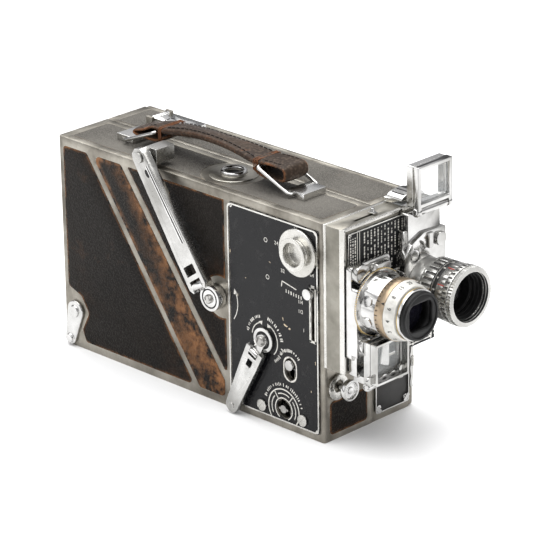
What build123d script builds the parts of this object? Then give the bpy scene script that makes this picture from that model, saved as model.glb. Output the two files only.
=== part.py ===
"""Spring-driven 16 mm cine camera with a two-lens turret and a detachable film chamber.

Frame: +Z up, -Y towards the lenses, -X towards the crank and control side, +X towards the
film chamber. The origin is the centre of the body's base. All sizes are in millimetres.
"""

from build123d import *
import math
import os

os.makedirs("parts", exist_ok=True)

# ---------------------------------------------------------------- driving dimensions
BODY_W = 72.0
BODY_L = 212.0
BODY_H = 130.0
WALL = 2.6
SPLIT_X = 2.4
CHAMBER_GAP = 0.4
LEATHER_T = 0.7
LEATHER_PROUD = 0.15
FIT = 0.05

SIDE_X = -BODY_W / 2
FAR_X = BODY_W / 2
FRONT_Y = -BODY_L / 2
REAR_Y = BODY_L / 2
TOP_Z = BODY_H

HOUSING_Z = 46.0
HOUSING_D = 15.5
HOUSING_WALL = 2.0
GATE_PLATE_T = 2.0
HOUSING_Y = FRONT_Y - HOUSING_D
TABLE_T = 0.8
TABLE_Y = HOUSING_Y - TABLE_T

LENS_X = 19.0
LENS_Z = 87.0
TURRET_Y0 = TABLE_Y - 0.5
TURRET_Y1 = TURRET_Y0 - 3.6
BRACKET_Y = TURRET_Y1 - 1.8
POD_Y1 = -130.6

PLATE_T = 0.6
PLATE_X = SIDE_X - PLATE_T

WIND_Y = -23.5
WIND_Z = 65.5
WIND_PIN = 9.3
WIND_ARM = 79.2
WIND_TILT = 34.5
WIND_PIN_X = SIDE_X - 8.6
WIND_TONGUE_X = SIDE_X - 6.2
ARM_INNER_X = SIDE_X - 5.6
ARM_OUTER_X = SIDE_X - 10.6

CRANK_Y = -61.3
CRANK_Z = 50.0
CRANK_PIN = 9.0
CRANK_ARM = 45.4
CRANK_TILT = 154.0
CRANK_PIN_X = PLATE_X - 4.6
CRANK_TONGUE_X = PLATE_X - 3.2
CRANK_INNER_X = PLATE_X - 2.2
CRANK_OUTER_X = PLATE_X - 5.6

GEAR_MODULE = 1.126
MAIN_TEETH = 64
PINION_TEETH = 8
FRAME_SHAFT_DROP = 69.6

WINDING_MODULE = 1.2
WINDING_TEETH = 24
BARREL_TEETH = 73
BARREL_Z = 65.0

SPOOL_R = 46.0
SPOOL_CORE_R = 16.0
SPOOL_X0 = 9.0
SPOOL_X1 = 27.0
SPOOL_Z = 64.0
TAKE_UP_Y = -38.0
SUPPLY_Y = 57.0

FINDER_HINGE_DZ = 45.0
FINDER_HINGE_Y = -135.2
FINDER_W = 27.0
FINDER_H = 26.0
FINDER_D = 4.6

STRAP_X0 = -19.0
STRAP_X1 = 0.0
LOOP_BAR_Y = 41.5
LOOP_BAR_Z = 142.6
LUG_PIN_Y = 66.5
LUG_PIN_Z = 132.3
WIRE_R = 1.1


# ---------------------------------------------------------------- shape helpers
def block(x0, x1, y0, y1, z0, z1):
    """A box between two opposite corners."""
    centre = Pos((x0 + x1) / 2, (y0 + y1) / 2, (z0 + z1) / 2)
    return centre * Box(abs(x1 - x0), abs(y1 - y0), abs(z1 - z0))


def rod_x(x0, x1, y, z, r):
    """A cylinder along X."""
    return Pos((x0 + x1) / 2, y, z) * Rot(0, 90, 0) * Cylinder(r, abs(x1 - x0))


def rod_y(y0, y1, x, z, r):
    """A cylinder along Y."""
    return Pos(x, (y0 + y1) / 2, z) * Rot(90, 0, 0) * Cylinder(r, abs(y1 - y0))


def rod_z(z0, z1, x, y, r):
    """A cylinder along Z."""
    return Pos(x, y, (z0 + z1) / 2) * Cylinder(r, abs(z1 - z0))


def outline(points, round_r=0.0):
    """A closed flat face through the points, with rounded corners."""
    face = make_face(Polyline(*points, close=True))
    if round_r > 0:
        face = fillet(face.vertices(), round_r)
    return face


def slab_x(face, x0, x1):
    """Extrude a (y, z) face between two X planes."""
    return extrude(Plane.YZ.offset(x0) * face, x1 - x0)


def slab_y(face, y_back, y_front):
    """Extrude an (x, z) face from y_back forwards to y_front."""
    return extrude(Plane.XZ.offset(-y_back) * face, y_back - y_front)


def slab_z(face, z0, z1):
    """Extrude an (x, y) face between two Z planes."""
    return extrude(Plane.XY.offset(z0) * face, z1 - z0)


def rectangle(u0, u1, v0, v1, round_r=0.0):
    """A rectangle between two corners, with rounded corners."""
    return outline([(u0, v0), (u1, v0), (u1, v1), (u0, v1)], round_r)


def turned_y(x, z, stations):
    """A stack of coaxial cylinders along Y: (y_back, y_front, radius) for each."""
    parts = [rod_y(y0, y1, x, z, r) for y0, y1, r in stations]
    return fuse_all(parts)


def fuse_all(parts):
    """Join touching solids into one."""
    joined = parts[0]
    for part in parts[1:]:
        joined = joined + part
    return joined


def gear_x(y, z, teeth, module, x0, x1, phase=0.0):
    """A spur gear along X with straight-flanked teeth and running clearance."""
    pitch_r = module * teeth / 2
    root_r = pitch_r - 1.25 * module
    tip_r = pitch_r + 0.85 * module
    half_root = 0.62 * math.pi / (2 * teeth)
    half_tip = 0.26 * math.pi / teeth
    points = []
    for k in range(teeth):
        mid = phase + 2 * math.pi * k / teeth
        for angle, r in (
            (mid - 2 * half_root, root_r),
            (mid - half_tip * 0.9, tip_r),
            (mid + half_tip * 0.9, tip_r),
            (mid + 2 * half_root, root_r),
        ):
            points.append((y + r * math.cos(angle), z + r * math.sin(angle)))
    return slab_x(outline(points), x0, x1)


def screw_x(x_face, y, z, r, head, slot_w=0.8):
    """A slotted screw head standing off the control side."""
    body = rod_x(x_face - head, x_face, y, z, r)
    slot = Pos(x_face - head, y, z) * Rot(-50, 0, 0) * Box(0.8, 2.4 * r, slot_w)
    return body - slot


def screw_y(y_face, x, z, r, head, slot_w=0.6):
    """A slotted screw head standing off a front face."""
    body = rod_y(y_face - head, y_face, x, z, r)
    slot = Pos(x, y_face - head, z) * Rot(0, 35, 0) * Box(2.4 * r, 0.8, slot_w)
    return body - slot


def ribbed(ring, x, z, y0, y1, radius, count, width, depth):
    """Cut evenly spaced grooves along Y into the outside of a ring."""
    y_mid = (y0 + y1) / 2
    tools = []
    for k in range(count):
        turn = Pos(x, y_mid, z) * Rot(0, 360 * k / count, 0)
        tools.append(turn * Pos(radius, 0, 0) * Box(2 * depth, abs(y1 - y0), width))
    return ring - tools


def save(name, shape):
    """Write one node."""
    export_step(shape, f"parts/{name}.step")


def about_turret(shape):
    """The same shape half a turn round the turret's axis."""
    return Pos(0, 0, LENS_Z) * Rot(0, 180, 0) * Pos(0, 0, -LENS_Z) * shape


def arm_slab(hub, face, x_inner, x_outer):
    """Extrude a face drawn on a crank, whose local Y runs from the hub along the arm."""
    y, z, tilt = hub
    turn = math.radians(tilt)
    across = (0, -math.cos(turn), math.sin(turn))
    plane = Plane(origin=(x_inner, y, z), x_dir=across, z_dir=(-1, 0, 0))
    return extrude(plane * face, x_inner - x_outer)


def arm_point(hub, reach):
    """The (y, z) point that lies reach from the hub along an arm."""
    y, z, tilt = hub
    turn = math.radians(tilt)
    return y + reach * math.sin(turn), z + reach * math.cos(turn)


def cross_rod(hub, reach, x, radius, length):
    """A rod that lies across an arm, parallel to the side of the body."""
    y, z = arm_point(hub, reach)
    turn = math.radians(hub[2])
    plane = Plane(origin=(x, y, z), z_dir=(0, -math.cos(turn), math.sin(turn)))
    return plane * Cylinder(radius, length)


# ---------------------------------------------------------------- leather outlines
REAR_LEATHER = [
    (102.0, 124.8), (82.2, 124.8), (-3.1, 4.8), (88.0, 4.8), (91.0, 12.0),
    (85.0, 24.0), (91.0, 33.5), (102.0, 37.6),
]
STRIPE_LEATHER = [(77.0, 124.8), (53.4, 124.8), (-28.3, 15.0), (-28.3, 4.8), (-7.7, 4.8)]
FRONT_LEATHER = [(47.7, 124.8), (-30.2, 124.8), (-30.2, 22.0), (-28.5, 21.6)]
HUB_RELIEF_R = 12.5
TOP_BOSS = (-12.8, -15.2)
TOP_BOSS_R = 14.5


def side_leathers():
    """The three leather panels let into the control side."""
    x0 = SIDE_X - LEATHER_PROUD
    x1 = SIDE_X + LEATHER_T
    rear = slab_x(outline(REAR_LEATHER, 2.4), x0, x1)
    stripe = slab_x(outline(STRIPE_LEATHER, 3.0), x0, x1)
    front = slab_x(outline(FRONT_LEATHER, 0.6), x0, x1)
    front = front - rod_x(x0 - 1, x1 + 1, WIND_Y - 3.0, WIND_Z, HUB_RELIEF_R)
    return rear, stripe, front


def top_leather(x0, x1, relief):
    """A top panel of leather, cut away round the boss where relief is set."""
    face = rectangle(x0, x1, FRONT_Y + 4.6, REAR_Y - 6.5, 3.0)
    panel = slab_z(face, TOP_Z - LEATHER_T, TOP_Z + LEATHER_PROUD)
    if relief:
        panel = panel - rod_z(TOP_Z - 2, TOP_Z + 2, *TOP_BOSS, TOP_BOSS_R + 4.3)
    return panel


def side_bore(y, z, r):
    """A bore along X through the control wall."""
    return rod_x(SIDE_X - 1, SIDE_X + WALL + 8, y, z, r)


# ---------------------------------------------------------------- mechanism half
def frame_shaft_centre():
    """The one-frame shaft lies one gear centre distance from the hand crank."""
    reach = GEAR_MODULE * (MAIN_TEETH + PINION_TEETH) / 2
    drop = math.radians(FRAME_SHAFT_DROP)
    return CRANK_Y - reach * math.cos(drop), CRANK_Z - reach * math.sin(drop)


FRAME_Y, FRAME_Z = frame_shaft_centre()
BUTTON_Y, BUTTON_Z = -80.7, 37.5
DIAL_Y, DIAL_Z = -88.6, 109.2
SHUTTER_Y = -98.6
LOCK_Y, LOCK_Z = 95.4, 23.1
LOCK_R = 6.4
PAD_Y = 100.2
PAD_Z = 4.9
PAD_R = 4.0
RELEASE_X, RELEASE_Z = -25.5, 32.0
BARREL_Y = WIND_Y + math.sqrt((WINDING_MODULE * (WINDING_TEETH + BARREL_TEETH) / 2) ** 2
                              - (BARREL_Z - WIND_Z) ** 2)
DISC_X, DISC_Z = -4.0, 80.0
LEVER_Y = -115.2
GOVERNOR_Y, GOVERNOR_Z = -60.0, 104.0


def button_slot(x0, x1, r, half):
    """An upright slot round the single-frame button."""
    mid = rectangle(BUTTON_Y - r, BUTTON_Y + r, BUTTON_Z - half, BUTTON_Z + half)
    ends = [rod_x(x0, x1, BUTTON_Y, BUTTON_Z + s * half, r) for s in (-1, 1)]
    return slab_x(mid, x0, x1) + ends[0] + ends[1]


def shutter_slot(x0, x1):
    """The narrow slot that the shutter lever runs in."""
    return block(x0, x1, SHUTTER_Y - 1.1, SHUTTER_Y + 1.1, 60.0, 90.5)


def mechanism_case():
    """Cast tray that holds the spring motor, open towards the film chamber."""
    outer = block(SIDE_X, SPLIT_X, FRONT_Y, REAR_Y, 0, TOP_Z)
    edges = outer.edges().filter_by(Axis.Z).group_by(Axis.X)[0]
    outer = fillet(edges, 1.6)
    rear_rib = block(SIDE_X + 2.5, SPLIT_X - 3.5, REAR_Y, REAR_Y + 1.4, 36.5, TOP_Z - 2)
    inner = block(SIDE_X + WALL, SPLIT_X + 1, FRONT_Y + 3, REAR_Y - 3, WALL, TOP_Z - WALL)
    case = outer + rear_rib - inner
    boss = rod_x(SIDE_X + WALL - 0.2, SIDE_X + WALL + 3.5, BARREL_Y, BARREL_Z, 8)
    case = case + boss - rod_x(SIDE_X + 1.6, SIDE_X + 9, BARREL_Y, BARREL_Z, 4 + FIT)
    case = case - list(side_leathers())
    case = case - top_leather(-31.2, -2.4, True) - front_leather() - rear_leather()
    case = case - side_bore(WIND_Y, WIND_Z, 3 + FIT)
    case = case - side_bore(CRANK_Y, CRANK_Z, 2.5 + FIT)
    case = case - side_bore(FRAME_Y, FRAME_Z, 5.4)
    case = case - side_bore(DIAL_Y, DIAL_Z, 2 + FIT)
    case = case - side_bore(LOCK_Y, LOCK_Z, 1.5 + FIT)
    case = case - button_slot(SIDE_X - 1, SIDE_X + 5, 3.4, 3.2)
    case = case - shutter_slot(SIDE_X - 1, SIDE_X + 5)
    case = case - rod_y(FRONT_Y - 1, FRONT_Y + 5, RELEASE_X, RELEASE_Z, 1.8 + FIT)
    case = case - rod_y(FRONT_Y - 1, FRONT_Y + 5, DISC_X, DISC_Z, 2 + FIT)
    case = case - rod_z(-1, WALL + 1, BUSH_X, 0, BUSH_R)
    return case


BUSH_X = -17.0
BUSH_R = 7.0
BUSH_THREAD_R = 3.175
BUSH_L = 9.0


def tripod_bush():
    """Steel bush with the 1/4 inch tripod thread, flush with the base."""
    bush = rod_z(0, BUSH_L, BUSH_X, 0, BUSH_R)
    flange = rod_z(WALL, WALL + 2, BUSH_X, 0, BUSH_R + 3)
    return bush + flange - rod_z(-1, BUSH_L + 1, BUSH_X, 0, BUSH_THREAD_R)


def mechanism_cover():
    """Inner plate that closes the tray, with the bracket of the governor."""
    plate = block(0, SPLIT_X, FRONT_Y + 3, REAR_Y - 3, WALL, TOP_Z - WALL)
    plate = plate + block(-3.0, 0, GOVERNOR_Y - 6, GOVERNOR_Y + 6, GOVERNOR_Z - 6, GOVERNOR_Z + 6)
    plate = plate - rod_x(-4, -0.8, GOVERNOR_Y, GOVERNOR_Z, 1.5 + FIT)
    return plate - rod_x(-1, SPLIT_X - 0.8, BARREL_Y, BARREL_Z, 4 + FIT)


def front_leather():
    """Leather panel on the lower front of the mechanism half."""
    face = rectangle(-31.5, -1.5, 3.5, 23.4, 2.5)
    return slab_y(face, FRONT_Y + LEATHER_T, FRONT_Y - LEATHER_PROUD)


def rear_leather():
    """Leather panel on the lower back of the mechanism half."""
    face = rectangle(-32.0, -2.0, 5.0, 33.0, 2.5)
    return slab_y(face, REAR_Y + LEATHER_PROUD, REAR_Y - LEATHER_T)


def control_plate():
    """Enamelled plate with a raised rim, pierced for the controls."""
    x0 = SIDE_X - PLATE_T
    plate = slab_x(rectangle(-103.0, -34.6, 4.2, 125.0, 1.2), x0, SIDE_X)
    plate = plate - rod_x(x0 - 1, SIDE_X + 1, CRANK_Y, CRANK_Z, 2.5 + FIT)
    plate = plate - rod_x(x0 - 1, SIDE_X + 1, FRAME_Y, FRAME_Z, 5.4)
    plate = plate - rod_x(x0 - 1, SIDE_X + 1, DIAL_Y, DIAL_Z, 2 + FIT)
    plate = plate - button_slot(x0 - 1, SIDE_X + 1, 3.4, 3.2)
    return plate - shutter_slot(x0 - 1, SIDE_X + 1)


def mechanism_screws():
    """Screws of the control plate and the table plate, and the start knob's collar."""
    collar = rod_y(FRONT_Y - 1.3, FRONT_Y, RELEASE_X, RELEASE_Z - 0.8, 7.4)
    screws = [collar - rod_y(FRONT_Y - 3, FRONT_Y + 1, RELEASE_X, RELEASE_Z, 3.6)]
    for y in (-101.3, -36.3):
        for z in (5.9, 123.3):
            screws.append(screw_x(PLATE_X, y, z, 1.1, 0.4, 0.4))
    for y, z in ((-58.6, 9.6), (-90.2, 9.6)):
        screws.append(screw_x(PLATE_X, y, z, 3.4, 1.1, 0.9))
    for x in (-32.0, 32.0):
        for z in (49.2, 125.8):
            screws.append(screw_y(TABLE_Y, x, z, 1.0, 0.25, 0.35))
    return Compound(children=screws)


def front_housing():
    """Box in front of both halves that carries the lens table; open to the rear."""
    shell = block(SIDE_X, FAR_X, HOUSING_Y, FRONT_Y - GATE_PLATE_T, HOUSING_Z, TOP_Z)
    edges = shell.edges().filter_by(Axis.Z).group_by(Axis.Y)[0]
    shell = fillet(edges, 1.4)
    inner = block(
        SIDE_X + HOUSING_WALL, FAR_X - HOUSING_WALL, HOUSING_Y + HOUSING_WALL,
        FRONT_Y, HOUSING_Z + HOUSING_WALL, TOP_Z - HOUSING_WALL,
    )
    shell = shell - inner
    shell = shell - rod_y(HOUSING_Y - 1, HOUSING_Y + 3, LENS_X, LENS_Z, 8)
    shell = shell - rod_y(HOUSING_Y - 1, HOUSING_Y + 3, 0, LENS_Z, 3 + FIT)
    shell = shell - block(-21.0, -4.6, LEVER_Y - 0.9, LEVER_Y + 0.9, TOP_Z - 3, TOP_Z + 1)
    return shell - block(13.0, 27.0, -118.6, -109.4, TOP_Z - 3, TOP_Z + 1)


def housing_gate_plate():
    """Plate behind the housing with the film aperture and the shutter bearing."""
    plate = block(SIDE_X, FAR_X, FRONT_Y - GATE_PLATE_T, FRONT_Y, HOUSING_Z, TOP_Z)
    plate = plate - rod_y(FRONT_Y - 4, FRONT_Y + 1, LENS_X, LENS_Z, 6)
    return plate - rod_y(FRONT_Y - 4, FRONT_Y + 1, DISC_X, DISC_Z, 2 + FIT)


def front_table_plate():
    """Thin black plate behind the turret, marked with the exposure table."""
    plate = slab_y(rectangle(-33.6, 33.6, 47.6, 127.4, 0.8), HOUSING_Y, TABLE_Y)
    plate = plate - rod_y(TABLE_Y - 1, HOUSING_Y + 1, LENS_X, LENS_Z, 8)
    return plate - rod_y(TABLE_Y - 1, HOUSING_Y + 1, 0, LENS_Z, 3 + FIT)


def reflex_glass():
    """Ground glass under the viewing hood."""
    return block(13.0, 27.0, -118.6, -109.4, TOP_Z - HOUSING_WALL, TOP_Z)


def reflex_lever():
    """Slider on top of the housing that brings the viewing prism into the light."""
    stem = block(-7.4, -5.6, LEVER_Y - 0.8, LEVER_Y + 0.8, TOP_Z - 3.6, TOP_Z + 0.3)
    foot = block(-10.0, -5.0, LEVER_Y - 2.2, LEVER_Y + 2.2, TOP_Z - 3.6, TOP_Z - 2.2)
    pad = block(-8.0, -5.0, LEVER_Y - 2.4, LEVER_Y + 2.4, TOP_Z + 0.25, TOP_Z + 1.2)
    knob = rod_z(TOP_Z + 1.0, TOP_Z + 3.4, -6.5, LEVER_Y, 1.1)
    return stem + foot + pad + knob


def reflex_prism():
    """Viewing prism parked above the light path."""
    prism = outline([(-118.5, 96.0), (-111.2, 96.0), (-118.5, 106.0)])
    return slab_x(prism, LENS_X - 5.0, LENS_X + 5.0)


def reflex_hood():
    """Half-round flap over the ground glass, hinged at its rear edge."""
    centre_x, hinge_y = 22.0, -105.6
    flap = rod_z(TOP_Z + 0.25, TOP_Z + 2.6, centre_x, hinge_y - 1.0, 10.4)
    flap = flap - block(centre_x - 12, centre_x + 12, hinge_y - 1.0, hinge_y + 12,
                        TOP_Z, TOP_Z + 4)
    barrel = rod_x(centre_x - 10.4, centre_x + 10.4, hinge_y - 1.2, TOP_Z + 1.5, 1.2)
    hollow = rod_z(TOP_Z, TOP_Z + 1.6, centre_x, hinge_y - 3.0, 7.2)
    hollow = hollow - block(centre_x - 12, centre_x + 12, hinge_y - 3.4, hinge_y + 12,
                            TOP_Z - 1, TOP_Z + 3)
    return flap - hollow + barrel


def handle_lugs():
    """Two nickel lugs on the top that carry the handle's wire loops."""
    lugs = []
    for side in (-1, 1):
        near = side * (LUG_PIN_Y - 4.5)
        far = side * (LUG_PIN_Y + 8.5)
        lug = block(STRAP_X0 + 0.8, STRAP_X1 - 0.8, near, far, TOP_Z + LEATHER_PROUD,
                    TOP_Z + 4.2)
        bore = rod_x(STRAP_X0, STRAP_X1, side * LUG_PIN_Y, LUG_PIN_Z, WIRE_R + FIT)
        lugs.append(lug - bore)
    return Compound(children=lugs)


def wire_loop(side):
    """Chrome wire loop from a lug to the strap's folded end."""
    near_x = STRAP_X0 - 1.8
    far_x = STRAP_X1 + 1.6
    lug_y = side * LUG_PIN_Y
    bar_y = side * LOOP_BAR_Y
    route = FilletPolyline(
        (near_x + 5.6, lug_y, LUG_PIN_Z),
        (near_x, lug_y, LUG_PIN_Z),
        (near_x, bar_y, LOOP_BAR_Z),
        (far_x, bar_y, LOOP_BAR_Z),
        (far_x, lug_y, LUG_PIN_Z),
        (far_x - 5.6, lug_y, LUG_PIN_Z),
        radius=1.8,
    )
    section = Plane(origin=route @ 0, z_dir=route % 0) * Circle(WIRE_R)
    return sweep(section, path=route)


def handle_strap():
    """Plain closed form of the padded leather strap with its two folded ends."""
    top = [(-61.4, 141.0), (-60, 146.0), (-41, 147.8), (-20, 149.4), (0, 150.0),
           (20, 149.4), (41, 147.8), (60, 146.0), (61.4, 141.0)]
    under = [(59, 135.8), (40, 135.8), (36, 141.4), (20, 144.4), (0, 145.0),
             (-20, 144.4), (-36, 141.4), (-40, 135.8), (-59, 135.8)]
    strap = slab_x(outline(top + under), STRAP_X0, STRAP_X1)
    for side in (-1, 1):
        fold = rectangle(*sorted((side * 39.6, side * 59.0)), 138.0, 144.7)
        strap = strap - slab_x(fold, STRAP_X0 - 1, STRAP_X1 + 1)
    return strap


def top_port():
    """Round boss on the top with a bright ring window."""
    disc = rod_z(TOP_Z, TOP_Z + 0.6, *TOP_BOSS, TOP_BOSS_R)
    rim = rod_z(TOP_Z, TOP_Z + 1.5, *TOP_BOSS, 7.6)
    return disc + rim - rod_z(TOP_Z + 0.3, TOP_Z + 3, *TOP_BOSS, 5.2)


# ---------------------------------------------------------------- cranks
WIND_HUB = (WIND_Y, WIND_Z, WIND_TILT)
CRANK_HUB = (CRANK_Y, CRANK_Z, CRANK_TILT)


def winding_hub():
    """Crank hub with its shaft and gear, and the knuckle that the arm hinges on."""
    shaft = rod_x(SIDE_X - 1.0, SIDE_X + 13.0, WIND_Y, WIND_Z, 3)
    disc = rod_x(WIND_TONGUE_X, SIDE_X - 0.3, WIND_Y, WIND_Z, 7.4)
    tongue = rectangle(-4.4, 4.4, 0, WIND_PIN + 1.4, 1.0)
    tongue = arm_slab(WIND_HUB, tongue, SIDE_X - 2.4, WIND_TONGUE_X)
    neck = rectangle(-4.4, 4.4, WIND_PIN - 2.2, WIND_PIN + 1.4)
    neck = arm_slab(WIND_HUB, neck, SIDE_X - 3.0, WIND_PIN_X)
    knuckle = cross_rod(WIND_HUB, WIND_PIN, WIND_PIN_X, 2.4, 8.8)
    bore = cross_rod(WIND_HUB, WIND_PIN, WIND_PIN_X, 1.2 + FIT, 20)
    gear = gear_x(WIND_Y, WIND_Z, WINDING_TEETH, WINDING_MODULE, SIDE_X + 9.0, SIDE_X + 11.5,
                  winding_phase())
    return shaft + disc + tongue + neck + knuckle - bore + gear


def winding_arm():
    """Channel-section crank arm that folds outwards about the hub's knuckle."""
    start = WIND_PIN - 3.2
    end = WIND_PIN + WIND_ARM
    plan = outline([
        (-7.4, start + 2.6), (-5.4, start), (5.4, start), (7.4, start + 2.6), (7.0, start + 24),
        (5.2, end), (3.8, end + 3.8), (0, end + 5.4), (-3.8, end + 3.8), (-5.2, end),
        (-7.0, start + 24),
    ])
    arm = arm_slab(WIND_HUB, plan, ARM_INNER_X, ARM_OUTER_X)
    groove = rectangle(-4.4, 4.4, WIND_PIN + 16.0, end - 9.0, 2.0)
    arm = arm - arm_slab(WIND_HUB, groove, ARM_INNER_X + 1, ARM_INNER_X - 3.4)
    slot = rectangle(-4.75, 4.75, start - 2, WIND_PIN + 3.6)
    arm = arm - arm_slab(WIND_HUB, slot, ARM_INNER_X + 1, ARM_OUTER_X - 1)
    window = rectangle(-4.4, 4.4, WIND_PIN + 6.4, WIND_PIN + 12.4, 0.5)
    arm = arm - arm_slab(WIND_HUB, window, ARM_INNER_X + 1, ARM_OUTER_X - 1)
    y, z = arm_point(WIND_HUB, end)
    arm = arm - rod_x(ARM_OUTER_X - 1, ARM_INNER_X + 1, y, z, 1.8 + FIT)
    return arm + cross_rod(WIND_HUB, WIND_PIN, WIND_PIN_X, 1.2, 14.8)


def winding_grip():
    """Grip block that rests over the top of the body when the crank is stowed."""
    y, z = arm_point(WIND_HUB, WIND_PIN + WIND_ARM)
    axle = rod_x(ARM_OUTER_X - 0.9, SIDE_X - 1.0, y, z, 1.8)
    head = rod_x(ARM_OUTER_X - 1.1, ARM_OUTER_X - 0.1, y, z, 3.2)
    body = block(SIDE_X - 2.4, SIDE_X + 11.6, y - 6.0, y + 2.8, z - 5.0, z + 3.8)
    return axle + head + body


def hand_crank_hub():
    """Hub of the folding hand crank with its shaft and the large gear."""
    shaft = rod_x(PLATE_X - 1.0, SIDE_X + 7.5, CRANK_Y, CRANK_Z, 2.5)
    disc = rod_x(PLATE_X - 1.8, PLATE_X - 0.1, CRANK_Y, CRANK_Z, 7.2)
    boss = rod_x(CRANK_TONGUE_X, PLATE_X - 1.0, CRANK_Y, CRANK_Z, 3.6)
    tongue = arm_slab(CRANK_HUB, rectangle(-3.0, 3.0, 0, CRANK_PIN + 0.6, 0.2),
                      PLATE_X - 1.0, CRANK_TONGUE_X)
    neck = arm_slab(CRANK_HUB, rectangle(-3.0, 3.0, CRANK_PIN - 1.4, CRANK_PIN + 0.6),
                    PLATE_X - 1.0, CRANK_PIN_X)
    knuckle = cross_rod(CRANK_HUB, CRANK_PIN, CRANK_PIN_X, 1.5, 6.0)
    bore = cross_rod(CRANK_HUB, CRANK_PIN, CRANK_PIN_X, 0.7 + FIT, 16)
    gear = gear_x(CRANK_Y, CRANK_Z, MAIN_TEETH, GEAR_MODULE, SIDE_X + 5.0, SIDE_X + 7.0,
                  main_phase())
    return shaft + disc + boss + tongue + neck + knuckle - bore + gear


def hand_crank_arm():
    """Flat folding arm of the hand crank."""
    start = CRANK_PIN - 2.4
    end = CRANK_PIN + CRANK_ARM
    plan = outline([
        (-6.4, start), (6.4, start), (6.2, CRANK_PIN + 8), (4.4, end - 4), (3.2, end - 1.2),
        (0, end), (-3.2, end - 1.2), (-4.4, end - 4), (-6.2, CRANK_PIN + 8),
    ])
    arm = arm_slab(CRANK_HUB, plan, CRANK_INNER_X, CRANK_OUTER_X)
    slot = rectangle(-3.3, 3.3, start - 3, CRANK_PIN + 2.6)
    arm = arm - arm_slab(CRANK_HUB, slot, CRANK_INNER_X + 1, CRANK_OUTER_X - 1)
    window = rectangle(-2.0, 2.0, CRANK_PIN + 5.0, CRANK_PIN + 10.0, 0.6)
    arm = arm - arm_slab(CRANK_HUB, window, CRANK_INNER_X + 1, CRANK_OUTER_X - 1)
    hollow = rectangle(-3.2, 3.2, CRANK_PIN + 13.0, end - 8.0, 1.5)
    arm = arm - arm_slab(CRANK_HUB, hollow, CRANK_INNER_X + 1, CRANK_INNER_X - 2.2)
    rivet_y, rivet_z = arm_point(CRANK_HUB, end - 4.2)
    rivet = rod_x(CRANK_OUTER_X - 0.6, CRANK_OUTER_X + 0.1, rivet_y, rivet_z, 2.0)
    return arm + cross_rod(CRANK_HUB, CRANK_PIN, CRANK_PIN_X, 0.7, 12.0) + rivet


# ---------------------------------------------------------------- small controls
def speed_dial():
    """Frame-rate dial with a flared, hollow knob."""
    shaft = rod_x(SIDE_X + 6, PLATE_X - 1.0, DIAL_Y, DIAL_Z, 2)
    disc = rod_x(PLATE_X - 2.0, PLATE_X - 0.1, DIAL_Y, DIAL_Z, 13.7)
    neck = rod_x(PLATE_X - 3.4, PLATE_X - 1.9, DIAL_Y, DIAL_Z, 7.6)
    rim_x = PLATE_X - 5.9
    flare = Pos((PLATE_X - 3.4 + rim_x) / 2, DIAL_Y, DIAL_Z) * Rot(0, -90, 0)
    flare = flare * Cone(7.6, 9.7, abs(rim_x - PLATE_X + 3.4))
    cup = rod_x(rim_x - 1, PLATE_X - 1.1, DIAL_Y, DIAL_Z, 6.8)
    return shaft + disc + neck + flare - cup


def shutter_lever():
    """Knob and slider that set the shutter opening."""
    stem = block(PLATE_X - 0.4, SIDE_X + 3.6, SHUTTER_Y - 1.0, SHUTTER_Y + 1.0, 86.4, 89.8)
    foot = block(SIDE_X + WALL + 0.2, SIDE_X + WALL + 1.4, SHUTTER_Y - 2.6, SHUTTER_Y + 2.6,
                 84.4, 91.8)
    neck = rod_x(PLATE_X - 2.0, PLATE_X - 0.2, SHUTTER_Y + 0.8, 88.1, 1.9)
    knob = rod_x(PLATE_X - 4.2, PLATE_X - 1.9, SHUTTER_Y + 0.8, 88.1, 3.1)
    return stem + foot + neck + knob


def single_frame_button():
    """Button that slides down in its slot for one exposure."""
    button = rod_x(PLATE_X - 1.4, SIDE_X + 3.0, BUTTON_Y, BUTTON_Z + 2.6, 3.0)
    flange = rod_x(SIDE_X + WALL + 0.2, SIDE_X + WALL + 1.2, BUTTON_Y, BUTTON_Z + 2.6, 4.4)
    return button + flange


def one_frame_shaft():
    """Shaft that turns once for each frame, with a cross pin and the pinion."""
    stub = rod_x(PLATE_X - 0.5, SIDE_X + 8.5, FRAME_Y, FRAME_Z, 2.3)
    cross = block(PLATE_X - 0.4, PLATE_X + 0.5, FRAME_Y - 3.4, FRAME_Y + 3.4,
                  FRAME_Z - 0.6, FRAME_Z + 0.6)
    pinion = gear_x(FRAME_Y, FRAME_Z, PINION_TEETH, GEAR_MODULE, SIDE_X + 4.6, SIDE_X + 7.4,
                    pinion_phase())
    return stub + cross + pinion


def pinion_phase():
    """Turn the pinion so that a tooth space faces the main gear's tooth."""
    toward = math.atan2(CRANK_Z - FRAME_Z, CRANK_Y - FRAME_Y)
    return toward + math.pi / PINION_TEETH


def main_phase():
    """Turn the main gear so that a tooth points at the one-frame shaft."""
    return math.atan2(FRAME_Z - CRANK_Z, FRAME_Y - CRANK_Y)


def winding_phase():
    """Turn the winding gear so that a tooth points at the barrel."""
    return math.atan2(BARREL_Z - WIND_Z, BARREL_Y - WIND_Y)


def barrel_phase():
    """Turn the barrel's gear so that a tooth space faces the winding gear's tooth."""
    return math.atan2(WIND_Z - BARREL_Z, WIND_Y - BARREL_Y) + math.pi / BARREL_TEETH


def release_knob():
    """Start knob on the lower front: stem and dished head."""
    stem = rod_y(-114.2, FRONT_Y + 4.2, RELEASE_X, RELEASE_Z, 1.8)
    inner = rod_y(FRONT_Y + 3.1, FRONT_Y + 4.2, RELEASE_X, RELEASE_Z, 3.4)
    head = rod_y(-117.0, -114.0, RELEASE_X, RELEASE_Z, 6.2)
    dish = rod_y(-118.0, -115.6, RELEASE_X, RELEASE_Z, 4.9)
    hub = rod_y(-116.6, -115.0, RELEASE_X, RELEASE_Z, 1.9)
    return stem + inner + (head - dish) + hub


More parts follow.
